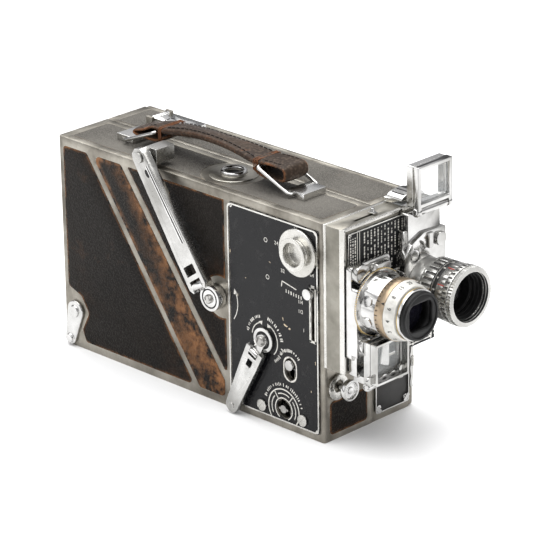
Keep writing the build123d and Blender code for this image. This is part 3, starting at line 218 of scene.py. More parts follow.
STEEL = metal("machined_steel", (0.30, 0.295, 0.28), (0.50, 0.49, 0.47), 0.32, grain=1500.0)
SATIN = metal("satin_aluminium", (0.37, 0.365, 0.35), (0.57, 0.565, 0.54), 0.30,
              wear=(0.9, 0.9, 0.88), stain=0.2)
BRASS = metal("brass", (0.36, 0.25, 0.10), (0.62, 0.46, 0.20), 0.30)
TAN_BAND = metal("tan_band", (0.30, 0.22, 0.14), (0.50, 0.40, 0.29), 0.38, wear=(0.75, 0.70, 0.62))
BLACK_LEATHER = pebbled_leather("black_leather", (0.006, 0.0045, 0.0035), (0.020, 0.0165, 0.0135),
                                (0.26, 0.12, 0.05), 950.0, 0.0004, 0.0022, 0.46, 0.06)
STRIPE_LEATHER = pebbled_leather("scuffed_leather", (0.010, 0.009, 0.008), (0.036, 0.031, 0.027),
                                 (0.30, 0.14, 0.06), 950.0, 0.0004, 0.0036, 0.48, 0.13)
TOP_LEATHER = pebbled_leather("top_leather", (0.068, 0.063, 0.056), (0.190, 0.179, 0.158),
                              (0.22, 0.17, 0.12), 1500.0, 0.00022, 0.0010, 0.5, 0.15)
ENAMEL = enamel("black_enamel", (0.006, 0.006, 0.007), (0.62, 0.56, 0.46))
TABLE_ENAMEL = enamel("table_enamel", (0.008, 0.008, 0.009), (0.55, 0.53, 0.5), 0.3, 0.4)
DARK_PLATE = plain("dark_plate", (0.012, 0.0115, 0.011), (0.028, 0.026, 0.024), 0.36, 140.0)
BLACK_METAL = plain("black_metal", (0.005, 0.005, 0.005), (0.012, 0.012, 0.012), 0.45)
LENS_GLASS = plain("lens_glass", (0.006, 0.007, 0.012), (0.012, 0.010, 0.016), 0.07, 20.0,
                   coat=0.6)
CLEAR_GLASS = clear_glass("clear_glass", (0.86, 0.90, 0.90), 0.16)
GROUND_GLASS = plain("ground_glass", (0.30, 0.31, 0.31), (0.40, 0.41, 0.41), 0.5, 600.0)
WHITE_MARK = plain("white_marking", (0.62, 0.60, 0.55), (0.80, 0.78, 0.73), 0.45, 900.0)
BLACK_MARK = plain("black_marking", (0.012, 0.012, 0.012), (0.03, 0.03, 0.03), 0.5, 900.0)
RED_MARK = plain("red_marking", (0.36, 0.03, 0.02), (0.48, 0.06, 0.04), 0.5, 900.0)
PALE_RING = plain("pale_ring", (0.58, 0.57, 0.53), (0.72, 0.71, 0.67), 0.35, 400.0, 0.3)

STRAP_LEATHER = pebbled_leather("strap_leather", (0.026, 0.017, 0.012), (0.082, 0.058, 0.042),
                                (0.36, 0.13, 0.04), 520.0, 0.00016, 0.0022, 0.34, 0.25)
STITCH = plain("stitch_thread", (0.004, 0.003, 0.003), (0.014, 0.010, 0.008), 0.6, 1500.0)
BINDING = plain("binding_thread", (0.09, 0.032, 0.012), (0.22, 0.085, 0.032), 0.55, 1200.0)
# Dark colour for groove floors and strips: painted shade.
GROOVE_SHADE = plain("groove_shade", (0.05, 0.049, 0.047), (0.16, 0.155, 0.15), 0.5, 900.0, 0.6)
CHIPPED = plain("chipped_enamel", (0.46, 0.36, 0.24), (0.66, 0.58, 0.45), 0.5, 1500.0, 0.4)

LOOKS = (
    (CAST, "mechanism_case chamber_case chamber_cover"),
    (SATIN, "mechanism_cover winding_grip lens_a_barrel lens_a_iris_ring lens_a_focus_ring"),
    (STEEL, "tripod_bush spring_barrel one_frame_shaft film_gate sprocket"),
    (BLACK_LEATHER, "side_leathers mechanism_end_leathers handle_strap chamber_side_leather"),
    (TOP_LEATHER, "mechanism_top_leather chamber_leathers"),
    (ENAMEL, "control_plate"),
    (NICKEL, "mechanism_screws housing_gate_plate reflex_hood speed_dial chamber_latch"),
    (CAST_BRIGHT, "top_port"),
    (POLISHED, "handle_lugs rear_sight"),
    (CAST_SIDE, "front_housing"),
    (TABLE_ENAMEL, "front_table_plate"),
    (GROUND_GLASS, "reflex_glass"),
    (CHROME, "reflex_lever front_handle_loop rear_handle_loop winding_hub hand_crank_hub "
             "shutter_lever single_frame_button release_knob lock_lever turret_plate "
             "turret_screws lens_b_barrel finder_frame_a finder_frame_b chamber_screws"),
    (LENS_GLASS, "reflex_prism lens_glasses"),
    (CHROME_WORN, "winding_arm hand_crank_arm"),
    (BRASS, "governor"),
    (BLACK_METAL, "shutter_disc lens_b_hood"),
    (TAN_BAND, "lens_b_iris_ring"),
    (PALE_RING, "lens_b_focus_ring"),
    (CLEAR_GLASS, "finder_glass_a finder_glass_b"),
    (DARK_PLATE, "chamber_front_plate supply_spool take_up_spool"),
)
NODE_LOOKS = {node: look for look, nodes in LOOKS for node in nodes.split()}
BEVEL_WIDTHS = (
    (0.9, "mechanism_case chamber_cover handle_lugs"),
    (0.7, "chamber_case winding_grip"),
    (0.8, "front_housing"),
    (0.25, "housing_gate_plate chamber_latch"),
    (1.0, "winding_arm"),
    (0.35, "winding_hub finder_frame_a finder_frame_b speed_dial"),
    (0.5, "hand_crank_arm lock_lever turret_plate lens_b_hood"),
    (0.3, "rear_sight lens_a_barrel lens_b_barrel turret_screws top_port hand_crank_hub "
          "reflex_lever shutter_lever single_frame_button"),
    (0.4, "reflex_hood release_knob"),
    (0.12, "side_leathers mechanism_top_leather chamber_leathers chamber_side_leather "
           "mechanism_end_leathers mechanism_screws chamber_screws"),
    (0.15, "lens_a_iris_ring lens_a_focus_ring chamber_front_plate"),
    (0.2, "lens_b_iris_ring lens_b_focus_ring"),
)
NODE_BEVELS = {node: width for width, nodes in BEVEL_WIDTHS for node in nodes.split()}
FLAT_NODES = ("control_plate", "front_table_plate")


def soften(obj, width):
    """Round a piece's sharp edges a little and shade its curved faces smoothly."""
    weld = obj.modifiers.new("weld", "WELD")
    weld.merge_threshold = 0.00001
    planar = obj.modifiers.new("planar", "DECIMATE")
    planar.decimate_type = "DISSOLVE"
    planar.angle_limit = math.radians(0.6)
    bevel = obj.modifiers.new("bevel", "BEVEL")
    bevel.width = width * MM
    bevel.segments = 2
    bevel.limit_method = "ANGLE"
    bevel.angle_limit = math.radians(38)
    bevel.miter_outer = "MITER_ARC"
    bevel.harden_normals = True


for node, look in NODE_LOOKS.items():
    cad = NODES[node]
    cad.data.materials.clear()
    cad.data.materials.append(look)
    if node in FLAT_NODES:
        cad.data.shade_flat()
        continue
    cad.data.shade_smooth()
    if node in NODE_BEVELS:
        soften(cad, NODE_BEVELS[node])


def scuff_stripe(mesh, upper, lower):
    """Give the diagonal middle panel, between two slanted lines, the rubbed leather."""
    mesh.materials.append(STRIPE_LEATHER)
    for face in mesh.polygons:
        sides = []
        for (y0, z0), (y1, z1) in (upper, lower):
            share = (face.center.z / MM - z0) / (z1 - z0)
            sides.append(face.center.y / MM - (y0 + share * (y1 - y0)))
        if sides[0] < 1.5 and sides[1] > -1.5:
            face.material_index = 1


def paint_top_light(mesh):
    """Painted light: the housing's upward faces get the lighter cast_bright copy of the metal, as
    if lit from above, while its other faces keep cast_side.
    """
    mesh.materials.append(CAST_BRIGHT)
    for face in mesh.polygons:
        if face.normal.z > 0.7:
            face.material_index = 1


# Painted light: lighter metal on the housing's upward faces.
paint_top_light(NODES["front_housing"].data)
scuff_stripe(NODES["side_leathers"].data, ((77.0, 124.8), (-7.7, 4.8)),
             ((53.4, 124.8), (-28.3, 15.0)))


# ---------------------------------------------------------------- mesh helpers
SIDE_X = -36.0
MARK_HEIGHT = 0.05


def new_object(name, data):
    """An object with this data, linked to the scene."""
    obj = bpy.data.objects.new(name, data)
    bpy.context.scene.collection.objects.link(obj)
    return obj


def node_box(name):
    """Lowest and highest corner of a CAD node, in millimetres."""
    corners = [Vector(corner) / MM for corner in NODES[name].bound_box]
    return [Vector([pick(c[k] for c in corners) for k in range(3)]) for pick in (min, max)]


def polar(degrees):
    """Flat unit vector at an angle from +u towards +v."""
    turn = math.radians(degrees)
    return Vector((math.cos(turn), math.sin(turn)))


def circle(u, v, radius, count):
    """Outline of a circle."""
    turns = [2 * math.pi * k / count for k in range(count)]
    return [(u + radius * math.cos(turn), v + radius * math.sin(turn)) for turn in turns]


def spokes(along, across, sides):
    """Unit directions round an axis; the first one is across."""
    other = along.cross(across)
    turns = [2 * math.pi * k / sides for k in range(sides)]
    return [across * math.cos(turn) + other * math.sin(turn) for turn in turns]


def skin(bm, rings, closed=False):
    """Join equal rings of vertices with faces; both ends are capped unless the row is closed."""
    for now, after in zip(rings, rings[1:] + (rings[:1] if closed else [])):
        for k in range(len(now)):
            j = (k + 1) % len(now)
            bm.faces.new((now[k], now[j], after[j], after[k]))
    if not closed:
        bm.faces.new(rings[0])
        bm.faces.new(list(reversed(rings[-1])))


def add_piece(bm, name, look, body, smooth=False, bevel=0.0, replaced=()):
    """Turn a bmesh (in millimetres) into a piece that rides on a body, in its look's slot."""
    bmesh.ops.scale(bm, vec=(MM, MM, MM), verts=bm.verts)
    bmesh.ops.recalc_face_normals(bm, faces=bm.faces)
    mesh = bpy.data.meshes.new(name)
    bm.to_mesh(mesh)
    bm.free()
    mesh.materials.append(look)
    if smooth:
        mesh.shade_smooth()
    obj = new_object(name, mesh)
    if bevel > 0:
        soften(obj, bevel)
    if replaced:
        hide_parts(*replaced)
    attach(obj, body)
    return obj


def prism(bm, points, frame_of, low, high):
    """Extrude a closed outline; frame_of maps (u, v, depth) to a point."""
    bottom = [bm.verts.new(frame_of(u, v, low)) for u, v in points]
    top = [bm.verts.new(frame_of(u, v, high)) for u, v in points]
    bm.faces.new(bottom)
    bm.faces.new(list(reversed(top)))
    count = len(points)
    for k in range(count):
        after = (k + 1) % count
        bm.faces.new((bottom[k], top[k], top[after], bottom[after]))


def on_side(u, v, depth):
    """Control side: u is y, v is z, depth stands out towards -X."""
    return SIDE_X - depth, u, v


def on_front(y):
    """A plane facing the front: u is x, v is z, depth stands out towards -Y."""
    return lambda u, v, depth: (u, y - depth, v)


def bar(bm, frame_of, start, end, width, low, high):
    """A thin straight strip between two points of a face."""
    a, b = Vector(start), Vector(end)
    side = (b - a).normalized()
    side = Vector((-side.y, side.x)) * width / 2
    prism(bm, [a + side, a - side, b - side, b + side], frame_of, low, high)


def arc(bm, frame_of, centre, radius, width, start, end, low, high):
    """A thin curved strip; angles in degrees from +u towards +v."""
    steps = 40
    rims = []
    for depth in (low, high):
        for r in (radius - width / 2, radius + width / 2):
            ring = []
            for k in range(steps + 1):
                turn = math.radians(start + (end - start) * k / steps)
                u = centre[0] + r * math.cos(turn)
                v = centre[1] + r * math.sin(turn)
                ring.append(bm.verts.new(frame_of(u, v, depth)))
            rims.append(ring)
    inner_low, outer_low, inner_high, outer_high = rims
    for k in range(steps):
        for p, q in ((inner_low, outer_low), (outer_low, outer_high), (outer_high, inner_high),
                     (inner_high, inner_low)):
            bm.faces.new((p[k], p[k + 1], q[k + 1], q[k]))
    for k in (0, steps):
        bm.faces.new((inner_low[k], outer_low[k], outer_high[k], inner_high[k]))


def rounded(u0, u1, v0, v1, r, steps=6):
    """Outline of a rectangle with round corners."""
    points = []
    for cu, cv, first in ((u1 - r, v1 - r, 0), (u0 + r, v1 - r, 90), (u0 + r, v0 + r, 180),
                          (u1 - r, v0 + r, 270)):
        for k in range(steps + 1):
            turn = math.radians(first + 90 * k / steps)
            points.append((cu + r * math.cos(turn), cv + r * math.sin(turn)))
    return points


def rim(bm, outline, inset, frame_of, low, high):
    """A raised closed strip that follows an outline made by rounded()."""
    u_mid = (min(p[0] for p in outline) + max(p[0] for p in outline)) / 2
    v_mid = (min(p[1] for p in outline) + max(p[1] for p in outline)) / 2
    inner = [(u - math.copysign(inset, u - u_mid), v - math.copysign(inset, v - v_mid))
             for u, v in outline]
    rings = [[bm.verts.new(frame_of(u, v, d)) for u, v in path]
             for path, d in ((outline, low), (outline, high), (inner, high), (inner, low))]
    count = len(outline)
    for k in range(count):
        after = (k + 1) % count
        for j in range(4):
            p, q = rings[j], rings[(j + 1) % 4]
            bm.faces.new((p[k], p[after], q[after], q[k]))


def glyph(bm, text, size, place):
    """Raised figures: place maps the text's own (right, up, out) to the row frame."""
    curve = bpy.data.curves.new("figures", "FONT")
    curve.body = text
    curve.size = size
    curve.align_x = "CENTER"
    curve.align_y = "CENTER"
    curve.extrude = MARK_HEIGHT
    curve.resolution_u = 3
    holder = bpy.data.objects.new("figures", curve)
    mesh = bpy.data.meshes.new_from_object(holder)
    mesh.transform(place)
    bm.from_mesh(mesh)
    bpy.data.objects.remove(holder)
    bpy.data.meshes.remove(mesh)


def side_place(y, z, depth):
    """Where a figure on the control side goes; it reads from -X."""
    return Matrix(((0, 0, -1, SIDE_X - depth), (-1, 0, 0, y), (0, 1, 0, z), (0, 0, 0, 1)))


def ring_place(x, z, y, radius, turn):
    """Where a figure on a lens ring goes: it stands at that angle, read from the rear."""
    turned = Matrix.Translation((x, y, z)) @ Matrix.Rotation(math.radians(turn), 4, "Y")
    axes = Matrix(((0, 0, -1, -radius), (0, 1, 0, 0), (1, 0, 0, 0), (0, 0, 0, 1)))
    return turned @ axes


def lathe(bm, profile, place, steps=96):
    """Turn a closed (radius, along) profile round an axis; place maps (a, b, along)."""
    rings = []
    for k in range(steps):
        turn = 2 * math.pi * k / steps
        rings.append([bm.verts.new(place(r * math.cos(turn), r * math.sin(turn), along))
                      for r, along in profile])
    skin(bm, rings, closed=True)


def capsule(bm, a, b, radius, sides=8):
    """A short rod with rounded ends between two points."""
    a, b = Vector(a), Vector(b)
    along = (b - a).normalized()
    around = spokes(along, along.orthogonal().normalized(), sides)
    tip = along * radius * 0.7
    skin(bm, [[bm.verts.new(centre + way * radius * share) for way in around]
              for centre, share in ((a - tip, 0.45), (a, 1.0), (b, 1.0), (b + tip, 0.45))])


def tube(bm, points, radius, sides):
    """A round wire along a closed loop of points."""
    points = [Vector(p) for p in points]
    rings = []
    normal = None
    for k, point in enumerate(points):
        along = (points[(k + 1) % len(points)] - points[k - 1]).normalized()
        if normal is None:
            normal = along.orthogonal().normalized()
        normal = (normal - along * normal.dot(along)).normalized()
        rings.append([bm.verts.new(point + radius * way) for way in spokes(along, normal, sides)])
    skin(bm, rings, closed=True)


# ---------------------------------------------------------------- handle strap
STRAP_MID_X = -9.5
STRAP_HALF = 9.5


def strap_crest(reach):
    """Height of the strap's top surface: arched, pinched at the bindings, full at the folds."""
    if reach <= 38.0:
        return 150.0 - 4.6 * (reach / 38.0) ** 2.2
    return 145.4 + 0.9 * math.sin(math.pi / 2 * min(1.0, (reach - 38.0) / 12.0))


def strap_top(y):
    """Height of the top surface at y, with the rear fold pressed down."""
    return strap_crest(abs(y)) - strap_droop(y)


def strap_tilt(x, y):
    """How far the strap sinks away from the control side: most in its middle, some at its rear."""
    share = max(0.4 if y > 0 else 0.0, 1.0 - (y / 36.0) ** 2)
    return -share * (0.25 * (x - STRAP_MID_X) + 1.2)


def strap_droop(y):
    """How far the rear fold has been pressed down by use."""
    share = min(1.0, max(0.0, (y - 43.5) / 12.0))
    return 4.8 * share * share * (3.0 - 2.0 * share)


def strap_route():
    """Centre line and half thickness of the folded strap, from one tucked end to the other."""
    half = [(35.0, 141.0, 1.0), (38.0, 138.9, 1.1), (41.5, 137.2, 1.15), (46.0, 136.95, 1.15),
            (51.0, 136.95, 1.15), (56.0, 137.1, 1.15)]
    for turn in (-60, -30, 0, 30, 60):
        half.append((57.7 + 3.0 * math.cos(math.radians(turn)),
                     141.1 + 4.0 * math.sin(math.radians(turn)), 1.2))
    for y in (56.0, 51.0, 47.0, 43.0, 40.0, 37.0, 33.0, 28.0, 22.0, 15.0, 7.0):
        thick = 1.15 + 1.45 * min(1.0, max(0.0, (44.0 - y) / 12.0))
        half.append((y, strap_crest(y) - thick, thick))
    front = [(-y, z, t) for y, z, t in half]
    middle = [(0.0, strap_crest(0.0) - 2.6, 2.6)]
    rear = []
    for y, z, thick in reversed(half):
        share = min(1.0, max(0.0, (z - 137.2) / 7.0))
        rear.append((y, z - strap_droop(y) * share, thick))
    return front + middle + rear


def strap():
    """Padded leather strap, folded back round the wire loop at each end."""
    bm = bmesh.new()
    route = strap_route()
    sides = 28
    rings = []
    for k, (y, z, thick) in enumerate(route):
        before = route[max(k - 1, 0)]
        after = route[min(k + 1, len(route) - 1)]
        along = Vector((0, after[0] - before[0], after[1] - before[1])).normalized()
        up = Vector((1, 0, 0)).cross(along)
        waist = 0.35 * math.exp(-((abs(y) - 39.0) / 2.4) ** 2)
        ring = []
        for j in range(sides):
            turn = 2 * math.pi * j / sides
            c, s = math.cos(turn), math.sin(turn)
            across = (STRAP_HALF - waist) * math.copysign(abs(c) ** 0.55, c)
            rise = thick * math.copysign(abs(s) ** 0.62, s)
            crown = 0.30 * (1.0 - (across / STRAP_HALF) ** 2) * (1 if s > 0 else 0.4)
            rise = rise * (0.88 + crown)
            centre = Vector((STRAP_MID_X, y, z))
            point = centre + Vector((across, 0, 0)) + up * rise
            point.z += strap_tilt(point.x, y) if z > 142.0 else 0.0
            ring.append(bm.verts.new(point))
        rings.append(ring)
    skin(bm, rings)
    obj = add_piece(bm, "leather_strap", STRAP_LEATHER, "handle", smooth=True,
                    replaced=("handle_strap",))
    smooth = obj.modifiers.new("smooth", "SUBSURF")
    smooth.levels = 2
    smooth.render_levels = 2


def strap_stitches():
    """Waxed stitches along both edges, and the thread bindings at both ends."""
    bm = bmesh.new()
    for side in (-1, 1):
        x = STRAP_MID_X + side * (STRAP_HALF - 2.6)
        y = -35.0
        while y < 35.0:
            ends = []
            for at in (y, y + 2.3):
                ends.append((x, at, strap_top(at) + strap_tilt(x, at) + 0.02))
            capsule(bm, ends[0], ends[1], 0.27)
            y += 3.5
        for end in (-1, 1):
            for k in range(4):
                y = 43.5 + 3.4 * k
                capsule(bm, (x, end * y, strap_top(end * y) - 0.03),
                        (x, end * (y + 2.2), strap_top(end * (y + 2.2)) - 0.03), 0.24)
    add_piece(bm, "strap_stitches", STITCH, "handle", smooth=True)
    bm = bmesh.new()
    for end in (-1, 1):
        for k in range(4):
            y = end * (37.0 + 0.85 * k)
            low = 139.0 - 0.55 * k
            loop = rounded(STRAP_MID_X - STRAP_HALF + 0.05, STRAP_MID_X + STRAP_HALF - 0.05,
                           low, strap_top(y) + 0.16, 1.2, 4)
            tube(bm, [(x, y + 0.3 * math.sin(0.9 * x + k), z) for x, z in loop], 0.24, 8)
    add_piece(bm, "strap_bindings", BINDING, "handle", smooth=True)


strap()
strap_stitches()


# ---------------------------------------------------------------- control plate
PLATE_DEPTH = 0.6
CRANK = (-61.3, 50.0)
ONE_FRAME = (-75.4, 12.0)
BUTTON = (-80.7, 37.5)
WIND = (-23.5, 65.5)
WIND_LEAN = math.radians(34.5)


def tick_arc(bm, centre, radius, start, end, step, length, rng):
    """A row of small upright ticks along an arc of the control plate, of slightly uneven size."""
    angle = start
    while angle < end:
        grow = rng.uniform(0.55, 1.0) * length / 2
        out = polar(angle)
        middle = Vector(centre) + out * radius
        bar(bm, on_side, middle - out * grow, middle + out * grow, rng.uniform(0.4, 0.8),
            PLATE_DEPTH, PLATE_DEPTH + MARK_HEIGHT)
        angle += step * rng.choice((1.0, 1.0, 1.7))


def plate_rim():
    """Raised bright border of the control plate."""
    bm = bmesh.new()
    rim(bm, rounded(-102.7, -33.5, 4.5, 124.7, 3.0), 0.8, on_side, 0.5, 0.95)
    add_piece(bm, "control_plate_rim", NICKEL, "mechanism")


def plate_markings():
    """White scales, arrows and figures on the control plate."""
    rng = random.Random(3)
    bm = bmesh.new()
    low, high = PLATE_DEPTH, PLATE_DEPTH + MARK_HEIGHT
    for figure, y, z in (("16", -86.1, 122.0), ("8", -100.0, 113.2), ("64", -98.2, 98.4),
                         ("32", -76.0, 94.9), ("24", -71.4, 110.0)):
        glyph(bm, figure, 3.1, side_place(y, z, high))
    for y, z in ((-63.1, 109.8), (-64.2, 88.2)):
        arc(bm, on_side, (y, z), 1.2, 0.35, 0, 360, low, high)
    arc(bm, on_side, WIND, 16.9, 0.55, 158, 216, low, high)
    prism(bm, [(-40.3, 71.2), (-38.0, 74.0), (-37.4, 70.6)], on_side, low, high)
    for start, end in ((8, 70), (110, 226)):
        arc(bm, on_side, CRANK, 9.9, 0.6, start, end, low, high)
    prism(bm, [(-59.6, 60.8), (-59.2, 58.2), (-56.6, 59.6)], on_side, low, high)
    prism(bm, [(-63.6, 60.2), (-63.4, 57.8), (-66.0, 58.2)], on_side, low, high)
    for start, end in ((10, 76), (102, 172), (190, 236)):
        tick_arc(bm, CRANK, 13.4, start, end, 5.2, 2.2, rng)
    rim(bm, rounded(BUTTON[0] - 5.2, BUTTON[0] + 5.2, BUTTON[1] - 7.6, BUTTON[1] + 7.6, 5.1, 12),
        0.75, on_side, low, high)
    tick_arc(bm, (BUTTON[0], BUTTON[1] + 2.5), 8.6, 38, 145, 7.0, 2.0, rng)
    arc(bm, on_side, ONE_FRAME, 11.8, 0.75, -35, 215, low, high)
    arc(bm, on_side, ONE_FRAME, 6.5, 0.65, -60, 240, low, high)
    for start, end in ((62, 118), (-28, 42), (138, 206)):
        arc(bm, on_side, ONE_FRAME, 9.2, 0.6, start, end, low, high)
    for angle in (52, 128):
        bar(bm, on_side, Vector(ONE_FRAME) + polar(angle) * 6.6,
            Vector(ONE_FRAME) + polar(angle) * 11.8, 0.6, low, high)
    tick_arc(bm, ONE_FRAME, 14.6, 18, 165, 5.2, 2.2, rng)
    for angle in (-20, 30, 150, 200):
        glyph(bm, "+", 2.0, side_place(*(Vector(ONE_FRAME) + polar(angle) * 9.2), high))
    shutter_scale(bm, low, high)
    for figure, y, z in (("1/4", -89.3, 80.1), ("1/2", -89.3, 74.5), ("1", -91.6, 64.0)):
        glyph(bm, figure, 3.0, side_place(y, z, high))
    for end in ((-86.2, 86.6), (-74.9, 85.6)):
        bar(bm, on_side, (-75.4, 88.9), end, 0.6, low, high)
    for k in range(7):
        y = -78.4 - 1.9 * k
        bar(bm, on_side, (y, 84.8 - 0.18 * k), (y - 0.1, 82.8 - 0.18 * k), rng.uniform(0.5, 0.9),
            low, high)
    add_piece(bm, "control_plate_markings", WHITE_MARK, "mechanism")


def shutter_scale(bm, low, high):
    """White strip round the shutter lever's slot, stepped on its front side."""
    for u0, u1, v0, v1 in ((-97.3, -95.9, 58.6, 92.4), (-101.1, -99.9, 58.6, 92.4),
                           (-101.1, -95.9, 90.7, 92.4), (-101.1, -95.9, 58.4, 59.8)):
        prism(bm, rounded(u0, u1, v0, v1, 0.2, 2), on_side, low, high)
    for v in (64.0, 70.5, 76.5, 82.0):
        prism(bm, rounded(-97.5, -96.8, v, v + 3.2, 0.15, 2), on_side, low, high)


def plate_chips():
    """Bare spots where the enamel has flaked."""
    rng = random.Random(11)
    bm = bmesh.new()
    for y, z, length, width, turn in ((-77.6, 63.0, 4.4, 1.3, 15), (-75.6, 66.6, 2.6, 0.7, 70),
                                      (-80.6, 61.9, 2.0, 1.6, -20), (-66.0, 97.4, 1.6, 0.5, 30),
                                      (-47.0, 83.0, 1.2, 0.5, -35), (-96.8, 29.0, 1.8, 0.5, 80),
                                      (-100.2, 47.0, 3.2, 0.6, 88), (-35.2, 96.0, 3.0, 0.6, 90)):
        points = []
        for k in range(11):
            angle = 2 * math.pi * k / 11
            reach = rng.uniform(0.6, 1.0)
            u = length / 2 * math.cos(angle) * reach
            v = width / 2 * math.sin(angle) * reach
            c, s = math.cos(math.radians(turn)), math.sin(math.radians(turn))
            points.append((y + u * c - v * s, z + u * s + v * c))
        prism(bm, points, on_side, PLATE_DEPTH, PLATE_DEPTH + 0.03)
    add_piece(bm, "control_plate_chips", CHIPPED, "mechanism")


plate_rim()
plate_markings()
plate_chips()


# ---------------------------------------------------------------- table plate
TABLE_FACE = -122.3


def table_markings():
    """Columns of small white marks of the exposure table, and its ruled lines."""
    rng = random.Random(5)
    face = on_front(TABLE_FACE)
    bm = bmesh.new()
    tall = ((0.5, 1.6), (0.45, 1.0), (0.45, 0.45, 0.6, 2.0))
    for columns, top, bottom, lengths, widths, gaps in (
            ([-20.6 + 2.7 * k for k in range(10)], 125.0, 92.0, *tall),
            ([-20.6 + 2.7 * k for k in range(10, 20)], 125.0, 100.0, *tall),
            ((-31.4, -29.6, -27.8), 124.0, 98.0, (0.5, 1.6), (0.6, 1.0), (0.5, 0.9)),
            ([6.0 + 2.45 * k for k in range(13)], 62.0, 48.6, (0.6, 1.8), (0.7, 1.3),
             (0.5, 0.5, 1.3))):
        for x in columns:
            z = top
            while z > bottom:
                length = rng.uniform(*lengths)
                bar(bm, face, (x, z), (x, z - length), rng.uniform(*widths), 0.0, MARK_HEIGHT)
                z -= length + rng.choice(gaps)
    for x in (-26.2, -24.4, 26.6):
        bar(bm, face, (x, 126.4), (x, 48.8), 0.35, 0.0, MARK_HEIGHT)
    add_piece(bm, "table_markings", WHITE_MARK, "mechanism")
    bm = bmesh.new()
    rim(bm, rounded(-33.4, 33.4, 47.8, 127.2, 1.0), 0.5, face, 0.0, 0.12)
    add_piece(bm, "table_rim", NICKEL, "mechanism")
    bm = bmesh.new()
    edge = [(33.4, 46.3), (35.9, 46.3), (35.9, 72.0), (33.4, 72.0)]
    foot = [(5.0, 46.3), (33.5, 46.3), (33.5, 47.9), (5.0, 47.9)]
    for outline in (edge, foot):
        prism(bm, outline, on_front(TABLE_FACE + 0.9), 0.0, 0.9)
    add_piece(bm, "table_corner", TABLE_ENAMEL, "mechanism", bevel=0.1)


table_markings()


# ---------------------------------------------------------------- lens details
LENS_Z = 87.0
LENS_A_X = 19.0
LENS_B_X = -19.0


def at_lens(x):
    """Place a lathe profile on a lens axis; along is the distance towards the front."""
    return lambda a, b, along: (x + a, along, LENS_Z + b)


def tube_profile(y0, y1, inner, outer):
    """Rectangle of a thin-walled tube between two Y planes."""
    return [(inner, y0), (outer, y0), (outer, y1), (inner, y1)]


def lens_a_details():
    """Dark scale band, figures, index lines and the black stepped inside of the taking lens."""
    bm = bmesh.new()
    lathe(bm, tube_profile(-149.3, -151.7, 16.2, 16.45), at_lens(LENS_A_X))
    lathe(bm, tube_profile(-147.9, -148.7, 16.4, 16.72), at_lens(LENS_A_X))
    add_piece(bm, "lens_a_scale_band", BLACK_MARK, "turret", smooth=True)
    bm = bmesh.new()
    steps = [(14.1, -162.3), (13.6, -160.6), (13.1, -160.5), (12.9, -158.6), (12.4, -158.5),
             (12.2, -156.4), (11.8, -156.3), (11.5, -154.0), (10.95, -153.0), (10.9, -147.4)]
    backs = [(r + 0.12, y) for r, y in reversed(steps)]
    lathe(bm, steps + backs, at_lens(LENS_A_X))
    add_piece(bm, "lens_a_inside", BLACK_METAL, "turret")
    bm = bmesh.new()
    for k, figure in enumerate(("2", "4", "8", "15", "25", "50")):
        glyph(bm, figure, 2.3, ring_place(LENS_A_X, LENS_Z, -150.5, 16.47, 20 + 24 * k))
    add_piece(bm, "lens_a_scale_figures", WHITE_MARK, "turret")
    bm = bmesh.new()
    for turn in (32, 70):
        turned = Matrix.Translation((LENS_A_X, 0, LENS_Z))
        turned = turned @ Matrix.Rotation(math.radians(turn), 4, "Y")
        capsule(bm, *(turned @ Vector((-16.95, y, 0)) for y in (-152.6, -156.8)), 0.28)
    add_piece(bm, "lens_a_index_lines", RED_MARK, "lens_a_focus", smooth=True)


def lens_b_details():
    """Dots, figures, index mark, copper line and inner tube of the second lens."""
    rng = random.Random(9)
    bm = bmesh.new()
    for k in range(30):
        turn = math.radians(-60 + 9.0 * k)
        centre = Vector((LENS_B_X - 17.2 * math.cos(turn), -144.6,
                         LENS_Z + 17.2 * math.sin(turn)))
        half, radius = (0.9, 0.24) if rng.random() < 0.3 else (0.15, 0.34)
        half = Vector((0, half, 0))
        capsule(bm, centre + half, centre - half, radius)
    point = Matrix.Translation((LENS_B_X, 0, LENS_Z)) @ Matrix.Rotation(math.radians(28), 4, "Y")
    marks = [point @ Vector(p) for p in ((-17.45, -149.3, -0.9), (-17.45, -149.3, 0.9),
                                         (-17.45, -147.0, 0.0), (-17.2, -149.3, -0.9),
                                         (-17.2, -149.3, 0.9), (-17.2, -147.0, 0.0))]
    corners = [bm.verts.new(p) for p in marks]
    bm.faces.new(corners[:3])
    bm.faces.new(corners[5:2:-1])
    for k in range(3):
        bm.faces.new((corners[k], corners[3 + k], corners[3 + (k + 1) % 3], corners[(k + 1) % 3]))
    add_piece(bm, "lens_b_scale_marks", BLACK_MARK, "lens_b_iris", smooth=True)
    bm = bmesh.new()
    for k, figure in enumerate(("2", "3", "4", "6", "8", "15", "25", "50")):
        place = ring_place(LENS_B_X, LENS_Z, -152.9, 16.42, -50 + 24 * k)
        glyph(bm, figure, 3.2, place @ Matrix.Rotation(math.radians(15), 4, "X"))
    add_piece(bm, "lens_b_distance_figures", BLACK_MARK, "lens_b_focus")
    lip = [(12.2, -162.0), (13.5, -162.0), (13.7, -162.25), (13.4, -162.5), (12.4, -162.5),
           (12.1, -162.25)]
    for name, look, profile in (
            ("lens_b_copper_line", BRASS, tube_profile(-157.1, -157.7, 14.4, 14.66)),
            ("lens_b_inside", BLACK_METAL, tube_profile(-153.2, -159.4, 10.45, 10.58)),
            ("lens_b_front_lip", BLACK_METAL, lip)):
        bm = bmesh.new()
        lathe(bm, profile, at_lens(LENS_B_X))
        add_piece(bm, name, look, "turret", smooth=True)
    bm = bmesh.new()
    for k in range(90):
        turn = math.radians(4.0 * k)
        out = Vector((math.cos(turn), 0, math.sin(turn)))
        centre = Vector((LENS_B_X, 0, LENS_Z)) + out * 18.75
        capsule(bm, *(centre + Vector((0, y, 0)) for y in (-130.9, -131.9)), 0.35, 6)
    add_piece(bm, "lens_b_mount_knurls", BRASS, "turret", smooth=True)


lens_a_details()
lens_b_details()


